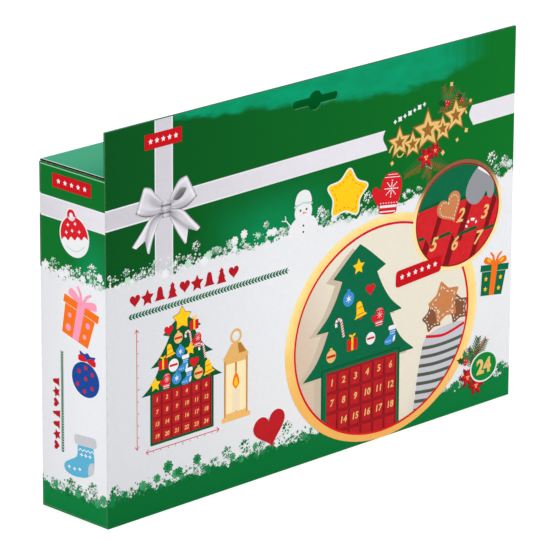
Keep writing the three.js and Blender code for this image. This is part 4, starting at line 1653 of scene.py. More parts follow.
def print_snowman(sheet, level, x, y, size):
    """A plain snowman of two balls in a round hat, sunk in the snow."""
    snowman = Motif(sheet, level, x, y, size)
    snowman.lay("white", 0, oval(0, -0.42, 0.5, 0.4, 32))
    snowman.lay("white", 1, oval(0, 0.06, 0.29, 0.27, 28))
    snowman.lay("pale_snow", 2, line_band([(-0.3, 0.22), (0, 0.29), (0.3, 0.22)], 0.05))
    snowman.lay("white", 2, smooth_line(SNOWMAN_HAT[::-1], 4, closed=True))
    snowman.lay("dark", 3, dot(-0.1, 0.11, 0.03, 8), dot(0.1, 0.11, 0.03, 8), dot(0, -0.28, 0.028, 8),
                dot(0, -0.44, 0.028, 8))
    snowman.lay("orange", 3, [(-0.02, 0.06), (-0.02, 0.01), (0.13, 0.02)])
    for side in (-1, 1):
        arm = sided([(0.4, -0.24), (0.56, -0.06), (0.72, -0.02)], side)
        twig = sided([(0.58, -0.06), (0.6, 0.08)], side)
        snowman.lay("white", 0, line_band(arm, 0.035, 0.02))
        snowman.lay("white", 0, line_band(twig, 0.03, 0.02))


# The two round windows of the front

BIG_MIDDLE = (199.4, 62.6)
BIG_REACH = (73.2, 62.5)
SMALL_MIDDLE = (256.2, 113.6)
SMALL_REACH = (34.6, 30.6)
BIG_WINDOW = oval(199.3, 62.1, 66.4, 58, 64)
SMALL_WINDOW = oval(*SMALL_MIDDLE, 32.2, 28.2, 64)
BIG_RING_TONES = ((250, 208, 118), (255, 228, 146))
SMALL_RING_TONES = ((250, 216, 136), (252, 228, 160))
RING_FLECK = (206, 152, 70)
BIG_RING_FOOT = (244, 180, 80)
SMALL_RING_TOP = (126, 74, 22)


def wall_ink():
    """The pale room wall of the large window, warmer to the left and below."""
    finish = Finish("wall_ink")
    u, v = finish.across_and_up("front")
    left = finish.ramp(finish.plus(u, finish.times(v, 0.5)), 225, 160)
    tone = finish.mix(left, rgb(233, 226, 208), rgb(214, 192, 170))
    corner_dark = finish.ramp(finish.minus(u, v), 196, 262)
    laminate(finish, finish.mix(finish.times(corner_dark, 0.75), tone, rgb(150, 142, 120)))
    return finish.material


def ring_gold(name, middle, reach, inner_tone, outer_tone):
    """Gold foil that changes tone from the ring's inner edge to its outer one."""
    finish = Finish(name)
    u, v = finish.across_and_up("front")
    u = finish.minus(u, middle[0])
    v = finish.minus(v, middle[1])
    square = finish.plus(finish.maths("POWER", finish.maths("DIVIDE", u, reach[0]), 2),
                         finish.maths("POWER", finish.maths("DIVIDE", v, reach[1]), 2))
    flow = finish.scaled(finish.noise(13, 3), -0.16, 0.16)
    share = finish.ramp(finish.plus(square, flow), 0.8, 1.04)
    return finish, u, v, finish.mix(share, rgb(*inner_tone), rgb(*outer_tone))


def flecked_foil(finish, tone):
    """Finishes a ring's gold with darker flecks and a metal gloss."""
    flecks = finish.ramp(finish.noise(1.6, 3, shift=9), 0.6, 0.7)
    laminate(finish, finish.mix(finish.times(flecks, 0.25), tone, rgb(*RING_FLECK)))
    finish.gloss(0.24, 0.36, 0.4)
    return finish.material


def big_ring_gold():
    """The large ring's gold, deeper at its foot."""
    finish, u, v, tone = ring_gold("big_ring_gold", BIG_MIDDLE, BIG_REACH, *BIG_RING_TONES)
    low_left = finish.plus(v, finish.times(u, 0.25))
    foot = finish.ramp(finish.plus(low_left, finish.scaled(finish.noise(14, 2), -8, 8)), 6, -48)
    return flecked_foil(finish, finish.mix(foot, tone, rgb(*BIG_RING_FOOT)))


def small_ring_gold():
    """The small ring's gold, brown at its top."""
    finish, _, v, tone = ring_gold("small_ring_gold", SMALL_MIDDLE, SMALL_REACH, *SMALL_RING_TONES)
    top = finish.ramp(finish.plus(v, finish.scaled(finish.noise(9, 2), -5, 5)), 6, 22)
    return flecked_foil(finish, finish.mix(top, tone, rgb(*SMALL_RING_TOP)))


def print_rings(sheet):
    rings = (
        (10, BIG_MIDDLE, BIG_REACH, (66.6, 58.2), big_ring_gold()),
        (11, (199.3, 62.1), (66.8, 58.4), (65.5, 57.2), "red"),
        (16, SMALL_MIDDLE, SMALL_REACH, (32.4, 28.4), small_ring_gold()),
        (17, SMALL_MIDDLE, (32.6, 28.6), (31.8, 27.8), "deep_red"),
    )
    for level, middle, outer, inner, material in rings:
        sheet.lay(material, level, oval(*middle, *outer, 96), oval(*middle, *inner, 96)[::-1])


# Ornaments on the large window's tree: kind, place on the front and size
ROOM_ORNAMENTS = (
    ("star", 180.6, 101, 8), ("heart", 189.6, 86, 7), ("bauble", 173.2, 84.6, 8.4),
    ("bell", 181.8, 76.4, 8.6), ("cane", 166.4, 70, 9), ("mitten", 196.4, 69.4, 8.4),
    ("gift", 176.2, 59, 7.6), ("snowball", 190.2, 58.6, 7), ("stocking", 206, 57, 8.4),
    ("gold_bauble", 160.4, 55.4, 7.2),
)


def print_room(sheet):
    """The large window: a felt tree with pockets on a wall, and a striped sack of ginger stars."""
    room = Motif(sheet, 0, 0, 0, window=BIG_WINDOW)
    sheet.lay(wall_ink(), 3, BIG_WINDOW)
    room.lay("wall_shade", 4, moved(fir_outline(85, 68), 176, 44.2))
    room.lay("wall_shade", 4, box(148, 2, 155, 46))
    room.lay("tree_dark", 5, moved(fir_outline(84, 68), 181.4, 45.2))
    room.lay("tree_green", 6, moved(fir_outline(82.6, 67.4), 181.8, 45.8))
    room.lay("tree_dark", 6, rounded(box(153, 2, 212.6, 49), 1))
    room.lay("tree_green", 7, rounded(box(154.2, 2, 211.8, 48), 1))
    print_pockets(sheet, 8, (157, 1), (210.4, 46.4), 6, 4, BIG_WINDOW, figure=0.33)
    for kind, x, y, across in ROOM_ORNAMENTS:
        print_little_ornament(sheet, 8, kind, x, y, across)
    print_sack(room)


SACK = [(228, 4), (226, 22), (229, 38), (235, 50), (262, 52), (270, 40), (274, 20), (270, 2)]


def print_sack(room):
    """A tied sack with dark stripes; ginger stars look out of it."""
    sack = smooth_line(SACK[::-1], 5, closed=True)
    for x, y, size, tone in ((247, 66, 21, "ginger"), (238, 59, 14, "brown"), (258, 60, 15, "brown")):
        room.lay(tone, 5, moved(rounded(star(size * 0.62, 0.62), 1.4), x, y, 12))
        room.lay("white", 6, *dashes(moved(star(size * 0.46, 0.62), x, y, 12), size * 0.09, 0.5))
    room.lay("grey", 7, sack)
    for step in range(9):
        low = 4.5 + 5 * step
        stripe = smooth_line([(222, low), (240, low - 2), (258, low - 1.4), (276, low + 1.4)], 5)
        room.lay("moss", 8, cut_to(line_band(stripe, 1.9), hull_of(sack)))
    room.lay("red", 9, line_band(smooth_line([(233, 49.4), (247, 47.4), (263, 50.6)], 6), 1.6))


def hull_of(outline):
    """The convex outline round some points, counterclockwise."""
    points = sorted(outline)

    def half(order):
        kept = []
        for point in order:
            while len(kept) > 1 and ((kept[-1][0] - kept[-2][0]) * (point[1] - kept[-2][1])
                                     - (kept[-1][1] - kept[-2][1]) * (point[0] - kept[-2][0])) <= 0:
                kept.pop()
            kept.append(point)
        return kept[:-1]

    return half(points) + half(points[::-1])


# One slanting pocket of the small window, from its upper left corner
CLOSE_FACE = [(0, 0), (17.5, 1.5), (9, -19), (-9.5, -21)]
CLOSE_SIDE = [(17.5, 1.5), (20.5, -3), (12.5, -22), (9, -19)]
CLOSE_MOUTH = [(0, 0), (17.5, 1.5), (15, 3.4), (3, 1.8)]
CLOSE_PITCH = (20.5, -1.2)
CLOSE_NUMBERS = ((5, 237, 100.5), (6, 253.5, 97.5), (7, 271.5, 97), (2, 258, 112.5), (3, 277, 110.5))


def print_pocket_close_up(sheet):
    """The small window: the mouths of slanting pockets, with ornaments going in."""
    view = Motif(sheet, 0, 0, 0, window=SMALL_WINDOW)
    sheet.lay("tree_green", 9, SMALL_WINDOW)
    view.lay("tree_dark", 10, [(262, 100), (292, 96), (292, 118), (266, 112)])
    for x0, y0 in ((226, 121), (214, 103.5)):
        for column in range(5):
            corner = (x0 + column * CLOSE_PITCH[0], y0 + column * CLOSE_PITCH[1])
            view.lay("pocket_shade", 11, moved(CLOSE_SIDE, *corner))
            view.lay("bright_pocket", 11, moved(CLOSE_FACE, *corner))
            view.lay("tree_dark", 12, moved(CLOSE_MOUTH, *corner))
    for value, x, y in CLOSE_NUMBERS:
        sheet.number("gold", 13, value, x, y, 7.6, turn=-4, lean=0.35)
    cane = Motif(sheet, 13, 267.2, 105.4, 13, 8)
    hook = [(0.3 * math.cos(math.pi * step / 8), 0.25 * math.sin(math.pi * step / 8)) for step in range(9)]
    cane.lay("white", 0, line_band(hook, 0.12))
    for first in (1, 4, 6):
        cane.lay("red", 1, line_band(hook[first:first + 2], 0.121))
    mitten_at = (273.4, 127.4, 148, 24)
    view.lay("wool", 13, moved(smooth_line(MITTEN, 5, closed=True), *mitten_at))
    view.lay("white", 14, moved(box(-0.25, -0.36, 0.27, -0.28), *mitten_at))
    heart_at = (250.6, 117.6, 24)
    view.lay("ginger", 14, moved(heart(19), *heart_at))
    sheet.lay("white", 15, *dashes(moved(heart(15), *heart_at), 1, 0.42))


def print_tags(sheet):
    """The red tag of the large window, and the green badge on pine, holly and flowers."""
    sheet.lay("label_red", 18, rounded([(208.8, 82.4), (243.6, 84.6), (244.2, 93.6), (209.2, 91.6)], 2.2))
    sheet.lay("white", 19, *[moved(star(1.7), 213.6 + 5.1 * step, 87.8 + 0.32 * step) for step in range(6)])
    print_pine(sheet, 18, 270, 24, 17, 74)
    print_pine(sheet, 18, 272, 26, 15, 50, ("leaf", "bronze"))
    print_pine(sheet, 18, 270, 22, 14, 104)
    print_holly(sheet, 20, 264.6, 27.4, 7.5, 10)
    print_flower(sheet, 20, 266.4, 18, 6.4)
    print_flower(sheet, 20, 273.2, 11.8, 6.2)
    sheet.lay("white", 24, oval(279, 21.6, 10.9, 8.9))
    sheet.lay("badge_green", 25, oval(279, 21.6, 9.9, 8))
    sheet.number("gold", 26, 24, 279, 21.4, 8.2, weight=0.06)


# Balls of the sides and the back

SNOW_WAVE = [(-0.98, -0.17), (-0.72, -0.02), (-0.5, -0.2), (-0.25, -0.02), (0, -0.2), (0.25, -0.02),
             (0.5, -0.2), (0.72, -0.02), (0.98, -0.17)]


def print_snowy_bauble(sheet, level, x, y, radius, turn):
    """A red ball with a starry top, a round cap and a wavy snow bowl."""
    ball = Motif(sheet, level, x, y, radius, turn)
    ball.lay("white", 0, oval(0, 0, 1.08, 1.08), dot(0, 1.05, 0.38, 24))
    ball.lay("red", 1, oval(0, 0, 1, 1), dot(0, 1.06, 0.3, 24))
    ball.lay("white", 2, dot(0, 1.06, 0.13, 16))
    angles = [math.radians(-10 - 160 * step / 24) for step in range(25)]
    bowl = [(math.cos(angle), math.sin(angle)) for angle in angles]
    ball.lay("white", 2, smooth_line(SNOW_WAVE, 5) + bowl)
    ball.strew("white", 2, star(0.11, 0.45, 4), (
        (-0.55, 0.2), (-0.1, 0.28), (0.42, 0.22), (-0.35, 0.58), (0.2, 0.62)))
    ball.lay("pale_snow", 3, line_band(smooth_line([(-0.7, -0.5), (0, -0.78), (0.7, -0.5)], 6), 0.05))


TIED_NECK = [(-0.42, 0.98), (0.42, 0.98), (0.6, 1.4), (0.2, 1.28), (0, 1.45), (-0.2, 1.28), (-0.6, 1.4)]


def print_tied_ball(sheet, level, x, y, radius, body, tie):
    """A ball with spots and a tie like a small bow."""
    ball = Motif(sheet, level, x, y, radius, -6)
    ball.lay("white", 0, oval(0, 0, 1.08, 0.98))
    ball.lay(body, 1, oval(0, 0, 1, 0.9), rounded(TIED_NECK, 0.1))
    for side in (-1, 1):
        loop = sided([(0, 0.98), (0.32, 1.22), (0.62, 1.12), (0.55, 0.86)], side)
        ball.lay(tie, 2, smooth_line(loop, 5, closed=True))
    ball.strew(tie, 2, dot(0, 0, 0.11, 16), (
        (-0.5, 0.3), (0.45, 0.42), (0, 0.05), (-0.55, -0.4), (0.5, -0.3), (-0.02, -0.62), (-0.05, 0.62)))


# Everything printed on the four faces. Each sheet has a name, a face, the levels it lies above the
# board, and rows of what is drawn on it: the way to draw it, then its place and looks

FRONT_GIFT = ("tree_green", "orange", "yellow")
SIDE_GIFT = ("orange", "pink", "pink")
BACK_GIFT = ("orange", "pink", "yellow")
YELLOW_BELL = ("yellow", "red")
SKY_STOCKING = ("sky", "grey")
NAVY_BALL = ("navy", "red")
SIDE_ROWS = (
    (print_title_row, 33, 73.6, 11.5, 5.6, True),
    (print_leaf_row, 33, 88, 15.9, 1.7, True),
)


def print_sheet(name, face, above, *rows):
    sheet = Print(name, face, above)
    for draw, *values in rows:
        draw(sheet, *values)
    sheet.finish()


print_bow("front_bow", "front")
print_sheet("front_label", "front", 0, (print_label, 26.4, 196.4, 52, 204.4))
print_sheet("front_emblem", "front", 1, (print_emblem, 232, 164))
print_sheet("front_title_row", "front", 0,
            (print_title_row, 15, 93, 118.4, 8.4), (print_leaf_row, 15, 129, 110.6, 2.6))
print_sheet("front_size_arrows", "front", 0,
            (print_size_arrow, (20.4, 103), (20.4, 38)), (print_size_arrow, (78.4, 35), (26.6, 35)))
print_sheet("front_small_calendar", "front", 0, (print_calendar, 24, 37.6))
print_sheet("front_lantern", "front", 0, (print_lantern, 90.4, 37.4))
print_sheet(
    "front_motifs", "front", 2,
    (print_snowman, 3, 139, 139, 22),
    (print_star, 4, 171.4, 143.2, 14.6, -8, 1.14),
    (print_mitten, 4, 203.2, 137.2, 22.5, -8, 1.08),
    (print_heart, 3, 115.4, 25, 22, 10, 1.06),
    (print_gift, 4, 285.8, 71.2, 20.5, -8, FRONT_GIFT, False),
)
print_sheet("front_window_room", "front", 2, (print_room,))
print_sheet("front_window_pockets", "front", 2, (print_pocket_close_up,))
print_sheet("front_window_rings", "front", 2, (print_rings,))
print_sheet("front_tags", "front", 2, (print_tags,))
print_sheet(
    "left_side_motifs", "left", 0,
    (print_label, 10, 174.6, 39, 182),
    (print_snowy_bauble, 3, 26.2, 151.8, 10.3, 12),
    (print_gift, 3, 29.2, 107.8, 24.4, -14, SIDE_GIFT),
    (print_tied_ball, 3, 33.8, 77, 10.4, *NAVY_BALL),
    (print_stocking, 3, 31.2, 34.4, 23.4, 4, *SKY_STOCKING, 1.24),
    *SIDE_ROWS,
)
print_sheet(
    "right_side_motifs", "right", 0,
    (print_label, 10, 174.6, 39, 182),
    (print_star, 3, 25, 150, 13, 8, 1),
    (print_mitten, 3, 30.5, 107, 27, 10),
    (print_bell, 3, 32, 74, 24, -8, *YELLOW_BELL),
    (print_heart, 3, 31, 34.5, 20, -8),
    *SIDE_ROWS,
)
print_bow("back_bow", "back", mirrored_at=CARTON_WIDTH)
print_sheet("back_label", "back", 0, (print_label, 269, 174.6, 295, 182))
print_sheet("back_calendar", "back", 0, (print_calendar, 154, 26, 1.36))
print_sheet("back_lantern", "back", 0, (print_lantern, 262, 38))
print_sheet(
    "back_motifs", "back", 0,
    (print_title_row, 16, 96, 116, 8.4),
    (print_leaf_row, 16, 130, 108.4, 2.6),
    (print_gift, 3, 30, 84, 19, 8, BACK_GIFT),
    (print_star, 3, 62, 85, 12.5, -8, 1.1),
    (print_tied_ball, 3, 96, 83, 9.5, *NAVY_BALL),
    (print_mitten, 3, 128, 84, 22, -10),
    (print_stocking, 3, 31, 46, 22, 6, *SKY_STOCKING, 1.1),
    (print_snowy_bauble, 3, 64, 44, 10, -6),
    (print_heart, 3, 96, 46, 18, 10),
    (print_bell, 3, 127, 45, 20, 8, *YELLOW_BELL),
)


# Felt, ribbon and thread


def felt(name, colour, lighter):
    """Pressed wool: matted fibres, shade painted darker in the pits between them, and a soft bloom."""
    finish = Finish(name)
    wool = finish.noise(1.3, 9, shift=2)
    strands = finish.noise(2.6, 6, stretch=(0.3, 1, 1.6), shift=6)
    tone = finish.mix(finish.ramp(wool, 0.3, 0.7), colour, lighter)
    tone = finish.shade(tone, finish.scaled(strands, 0.8, 1.16))
    # Painted shade in the pits between the fibres
    pit_shade = finish.ramp(finish.noise(0.45, 3, shift=4), 0.6, 0.7)
    pit_shade_colour = (*[part * 0.45 for part in colour[:3]], 1)
    finish.paint(finish.mix(finish.times(pit_shade, 0.35), tone, pit_shade_colour))
    finish.gloss(0.88, 0.98, 0.1)
    finish.shader.inputs["Sheen Weight"].default_value = 0.25
    finish.shader.inputs["Sheen Roughness"].default_value = 0.5
    finish.bump(wool, 0.22)
    finish.bump(finish.noise(0.4, 4), 0.1)
    return finish.material


RIB_PITCH = 0.7


def ribbed_ribbon(name, colour, lighter, way):
    """Woven ribbon with fine ribs across its length."""
    finish = Finish(name)
    wave = finish.maths("SINE", finish.times(finish.along((0, 0, 0), way), 2 * math.pi / RIB_PITCH))
    ribs = finish.scaled(finish.times(finish.plus(wave, 1), 0.5), 0, 1)
    yarn = finish.scaled(finish.noise(0.9, 4), -0.25, 0.25)
    finish.paint(finish.mix(finish.plus(ribs, yarn), colour, lighter))
    finish.gloss(0.42, 0.6, 0.3)
    finish.bump(ribs, 0.08)
    return finish.material


FELTS = {
    "green": felt("felt_green", rgb(22, 82, 40), rgb(44, 112, 60)),
    "red": felt("felt_red", rgb(164, 16, 28), rgb(196, 38, 46)),
    "white": felt("felt_white", rgb(222, 218, 208), rgb(240, 237, 230)),
    "gold": felt("felt_gold", rgb(212, 150, 44), rgb(234, 182, 78)),
    "blue": felt("felt_blue", rgb(112, 176, 208), rgb(148, 204, 228)),
    "brown": felt("felt_brown", rgb(120, 76, 44), rgb(152, 104, 64)),
}
THREADS = {
    "white": ribbed_ribbon("white_thread", rgb(206, 202, 192), rgb(240, 238, 230), (0.8, 0, 0.6)),
    "gold": ribbed_ribbon("gold_thread", rgb(206, 150, 40), rgb(246, 204, 96), (0.8, 0, 0.6)),
}
RIBBON_RED = ribbed_ribbon("woven_red_ribbon", rgb(132, 14, 22), rgb(188, 34, 42), (0, 0, 1))


# The folded calendar. Its legs stand one behind the other, joined by arches and bottom folds

FELT = 1.5
LEGS = 5
LEG_CENTRES = (-2.69, 5.37, 11.63, 16.09, 19.75)
LEG_THICKNESS = (3.1, 3.1, 3.1, 3.1, 1.5)
LEG_FOOT = 2.7
LEG_TOP = 182.1
LEG_HEIGHT = LEG_TOP - LEG_FOOT
LEG_STEPS = 30
ARCH_STEPS = 12
TREE_HALF_WIDTH = 141
TREE_FIFTH_FOOT = 110
TREE_TIP = 6
TREE_FLAT_WIDTH = 0.66
POCKET_BLOCK_HALF_WIDTH = 225
FELT_COLUMNS = 24


def lofted(name, rings, material):
    """A closed skin through rings of points in millimetres, capped at both ends."""
    count = len(rings[0])
    points = [Vector(point) * MM for ring in rings for point in ring]
    faces = [tuple(range(count)), tuple(range(len(points) - count, len(points)))]
    for row in range(len(rings) - 1):
        for step in range(count):
            here, beside = row * count + step, row * count + (step + 1) % count
            faces.append((here, beside, beside + count, here + count))
    mesh = bpy.data.meshes.new(name)
    mesh.from_pydata(points, [], faces)
    part = placed_object(name, mesh, Matrix.Identity(4))
    edit_mesh(mesh, lambda shell: bmesh.ops.recalc_face_normals(shell, faces=shell.faces))
    mesh.materials.append(material)
    smoothed(part)
    return part


def flat_half_width(leg, walked):
    """Half the width of the felt laid flat, at a way down a leg: straight pockets, then the tree's slope."""
    if leg < 2:
        return POCKET_BLOCK_HALF_WIDTH
    if leg == LEGS - 1:
        return TREE_FIFTH_FOOT + (TREE_TIP - TREE_FIFTH_FOOT) * walked / LEG_HEIGHT
    slope = TREE_FIFTH_FOOT / LEG_HEIGHT
    return TREE_FLAT_WIDTH / MM / 2 - slope * ((leg - 2) * LEG_HEIGHT + walked)


def folded_path():
    """Places along the felt: a point, the direction, half its thickness and width, and its side fold."""
    path = []
    for leg in range(LEGS):
        upward = 1 if leg % 2 == 0 else -1
        start = path[-1][0][1] if path else LEG_FOOT
        last = leg == LEGS - 1
        turn, end = 0, LEG_TOP
        if not last:
            turn = (LEG_CENTRES[leg + 1] - LEG_CENTRES[leg]) / 2
            thickest = max(LEG_THICKNESS[leg], LEG_THICKNESS[leg + 1]) / 2
            end = LEG_TOP - turn - thickest if upward > 0 else LEG_FOOT + turn + thickest
        for step in range(1 if path else 0, LEG_STEPS + 1):
            z = start + (end - start) * step / LEG_STEPS
            flat_half = flat_half_width(leg, z - LEG_FOOT if upward > 0 else LEG_TOP - z)
            half_width = min(TREE_HALF_WIDTH, flat_half)
            side_fold = min(max(flat_half - TREE_HALF_WIDTH, 0), TREE_HALF_WIDTH - 5)
            path.append(((LEG_CENTRES[leg], z), (0, upward), LEG_THICKNESS[leg] / 2, half_width, side_fold))
        for step in range(1, 1 if last else ARCH_STEPS + 1):
            share = step / ARCH_STEPS
            angle = math.pi * share
            spot = (LEG_CENTRES[leg] + turn - turn * math.cos(angle), end + upward * turn * math.sin(angle))
            thickness = LEG_THICKNESS[leg] * (1 - share) + LEG_THICKNESS[leg + 1] * share
            way = (math.sin(angle), upward * math.cos(angle))
            path.append((spot, way, thickness / 2, half_width, side_fold))
    return path


def felt_edge(half_thick, half_wide, side_fold):
    """One side's edge of the felt: rounded, or folded in behind over a way."""
    behind = half_thick - FELT
    if side_fold <= 0.5:
        edge = [(half_wide - 0.5, half_thick), (half_wide - 0.15, half_thick - 0.15),
                (half_wide, half_thick - 0.5), (half_wide, behind + 0.5), (half_wide - 0.15, behind + 0.15)]
        return edge + [(half_wide - 0.5 - 0.1 * step, behind) for step in range(7)]
    turn = half_wide - 1.1
    return [
        (turn, half_thick), (half_wide - 0.35, half_thick - 0.35), (half_wide, half_thick - 1.1),
        (half_wide, 1.1 - half_thick), (half_wide - 0.35, 0.35 - half_thick), (turn, -half_thick),
        (turn - side_fold / 2, -half_thick), (turn - side_fold, -half_thick),
        (turn - side_fold, FELT - half_thick), (turn - side_fold / 2, FELT - half_thick),
        (turn, FELT - half_thick), (turn, behind),
    ]


def felt_section(spot, way, half_thick, half_wide, side_fold):
    """The ring round the felt at one place: the front layer, and its sides folded in behind it."""
    side = Vector((-way[1], way[0]))
    edge = felt_edge(half_thick, half_wide, side_fold)
    (first, out), (last, behind) = edge[0], edge[-1]
    shares = [2 * step / FELT_COLUMNS - 1 for step in range(1, FELT_COLUMNS)]
    profile = [(first * share, out) for share in shares] + edge
    profile += [(-last * share, behind) for share in shares] + [(-x, y) for x, y in edge[::-1]]
    return [(x, spot[0] + side.x * y, spot[1] + side.y * y) for x, y in profile]


def make_felt_tree():
    tree = lofted("folded_felt_tree", [felt_section(*place) for place in folded_path()], FELTS["green"])
    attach(tree, "carton")
    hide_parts("felt_tree")


make_felt_tree()


# Pocket rows, each round its leg with six pockets and plain numbers on its closed side

ROW_HALF_WIDTH = 142.05
ROW_HALF_DEPTH = 2.6
ROW_CORNER = 2
ROW_OPENING = 3
LOWER_ROW = (9.38, 89.95)
UPPER_ROW = (93.95, 174.52)
POCKETS = 6
POCKET_WIDTH = 47
NUMBER_HEIGHT = 24
SEAM_DENT = 0.55
SEAM_STEPS = 16
HEM = 8
FOOT_SEAM = 2.5
ROW_STITCH = (2.6, 0.6)

# Each row, from the front: its leg, its lower and upper edge, and its first number
POCKET_ROWS = ((0, LOWER_ROW, 19), (0, UPPER_ROW, 13), (1, UPPER_ROW, 7), (1, LOWER_ROW, 1))


def seam_place(index):
    """Where the seam before a pocket lies, from the row's middle."""
    return (index - POCKETS / 2) * POCKET_WIDTH


def row_path():
    """Points round the leg from one end of the strip to the other, with outward directions."""
    path = []
    for step in range(12):
        x = ROW_OPENING + (ROW_HALF_WIDTH - ROW_CORNER - ROW_OPENING) * step / 12
        path.append((x, -ROW_HALF_DEPTH, 0, -1))
    for middle_y, first in ((-ROW_HALF_DEPTH + ROW_CORNER, -90), (ROW_HALF_DEPTH - ROW_CORNER, 0)):
        for step in range(5):
            angle = math.radians(first + 90 * step / 4)
            path.append((ROW_HALF_WIDTH - ROW_CORNER + ROW_CORNER * math.cos(angle),
                         middle_y + ROW_CORNER * math.sin(angle), math.cos(angle), math.sin(angle)))
    half = len(path)
    for step in range(1, POCKETS * SEAM_STEPS):
        path.append((POCKET_WIDTH * (POCKETS / 2 - step / SEAM_STEPS), ROW_HALF_DEPTH, 0, 1))
    return path + [(-x, y, -nx, ny) for x, y, nx, ny in path[half - 1::-1]]


def row_ring(path, leg, facing, z, mouth, seam):
    """One level of the strip: thinner at its cut edges, dented at the seams between pockets."""
    from_edge = min(abs(z - mouth), abs(z - seam))
    out = FELT / 2 - 0.25 * max(0, 1 - from_edge / 0.8)
    inner, outer = [], []
    for x, y, nx, ny in path:
        dent = 0
        if ny > 0.99:
            dent = SEAM_DENT * max(hump(x, seam_place(index), 1.5) for index in range(POCKETS + 1))
            hem_dent = 0.35 * hump(abs(z - mouth), HEM, 0.7)
            foot_dent = 0.4 * hump(abs(z - seam), FOOT_SEAM, 0.9)
            dent = max(dent, hem_dent, foot_dent)
        outer.append((x + nx * (out - dent), LEG_CENTRES[leg] + facing * (y + ny * (out - dent)), z))
        inner.append((x - nx * out, LEG_CENTRES[leg] + facing * (y - ny * out), z))
    return outer + inner[::-1]


def row_heights(low, high):
    """Levels of the strip, closer together at its edges."""
    inside = [low + 2 + (high - low - 4) * step / 34 for step in range(35)]
    return [low, low + 0.3, low + 0.8, low + 1.4, *inside, high - 1.4, high - 0.8, high - 0.3, high]


def row_numbers(row, leg, facing, middle, first_number):
    numbers = Print(f"pocket_numbers_{row}", "row")
    for index in range(POCKETS):
        x = (index - POCKETS / 2 + 0.5) * POCKET_WIDTH * -facing
        numbers.number(FELTS["gold"], 8, first_number + index, x, middle - 3, NUMBER_HEIGHT,
                       turn=180 * leg, weight=0.05)
    return numbers.shape()


def row_seams(row, low, high, foot_seam):
    seams = Print(f"pocket_seams_{row}", "seam")
    for index in range(1, POCKETS):
        x = seam_place(index)
        seams.lay(THREADS["white"], 16, *dashes([(x, low + 2), (x, high - 1)], *ROW_STITCH, closed=False))
    seams.lay(THREADS["white"], 14, *dashes([(-139, foot_seam), (139, foot_seam)], *ROW_STITCH, closed=False))
    return seams.shape()


def make_pocket_row(row, leg, levels, first_number):
    """A strip sewn round a leg. On the second leg, which runs down, it is upside down and faces back."""
    low, high = levels
    facing = -1 if leg == 0 else 1
    mouth, seam = (high, low) if leg == 0 else (low, high)
    path = row_path()
    rings = [row_ring(path, leg, facing, z, mouth, seam) for z in row_heights(low, high)]
    strip = lofted(f"pocket_strip_{row}", rings, FELTS["red"])
    surface = LEG_CENTRES[leg] + facing * (ROW_HALF_DEPTH + FELT / 2)
    FACES["row"] = ((0, surface, 0), (-facing, 0, 0), (0, 0, 1))
    FACES["seam"] = ((0, surface - facing * SEAM_DENT, 0), (-facing, 0, 0), (0, 0, 1))
    numbers = row_numbers(row, leg, facing, (low + high) / 2, first_number)
    seams = row_seams(row, low, high, seam - facing * FOOT_SEAM)
    piece = joined(strip.name, [strip, numbers, seams])
    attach(piece, "carton")
    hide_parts(f"pocket_row_{row}")


for row, (leg, levels, first_number) in enumerate(POCKET_ROWS, 1):
    make_pocket_row(row, leg, levels, first_number)


# The hanging loop, a ribbon sewn to the tip of the tree and folded down behind it

LOOP_HALF_WIDTH = 6
LOOP_RIBBON = 3
LOOP_FOOT = 148.1
LOOP_FRONT = 20.8
LOOP_ROUNDING = 0.18


def loop_outline(inset):
    """The loop's outline moved inwards: straight at the top and round at its foot."""
    reach = LOOP_HALF_WIDTH - inset
    foot = LOOP_FOOT + LOOP_HALF_WIDTH
    angles = [math.pi + math.pi * step / 24 for step in range(1, 24)]
    arc = [(reach * math.cos(angle), foot + reach * math.sin(angle)) for angle in angles]
    return [(reach, LEG_TOP - inset), (-reach, LEG_TOP - inset), (-reach, foot), *arc, (reach, foot)]


def make_hanging_loop():
    flat = flat_curve("ribbon_loop", [loop_outline(0), loop_outline(LOOP_RIBBON)[::-1]], 1 * MM)
    flat.bevel_depth = LOOP_ROUNDING * MM
    flat.offset = -LOOP_ROUNDING * MM
    flat.extrude = (0.5 - LOOP_ROUNDING) * MM
    flat.materials.append(RIBBON_RED)
    loop = converted(placed_object("ribbon_loop", flat, Matrix.Identity(4)))
    upright = Matrix.Rotation(math.pi / 2, 4, "X")
    loop.data.transform(Matrix.Translation((0, (LOOP_FRONT + 0.5) * MM, 0)) @ upright)
    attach(loop, "carton")
    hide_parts("hanging_loop")


make_hanging_loop()


# Felt ornaments: two layers of felt sewn together, with cut felt trimmings on their front side

LAYER_FELT = 1.35
LAYER_ROUNDING = 0.32
TRIM_LEVEL = 6
STITCH_LEVEL = 5
STITCH_INSET = 1.7
ORNAMENT_STITCH = (2.4, 0.55)


def rounded_layer(name, source, middle, squeeze, side):
    """A thinner copy of an ornament's body as one of its two layers."""
    layer = placed_object(name, source.copy(), Matrix.Identity(4))
    shift = Matrix.Translation((0, (middle + side * LAYER_FELT / 2) * MM, 0))
    to_middle = Matrix.Translation((0, -middle * MM, 0))
    layer.data.transform(shift @ Matrix.Diagonal((1, squeeze, 1, 1)) @ to_middle)
    rounding = layer.modifiers.new("rounding", "BEVEL")
    rounding.width = LAYER_ROUNDING * MM
    rounding.segments = 2
    rounding.limit_method = "ANGLE"
    rounding.angle_limit = math.radians(50)
    pick(layer)
    bpy.ops.object.modifier_apply(modifier="rounding")
    smoothed(layer)
    return layer


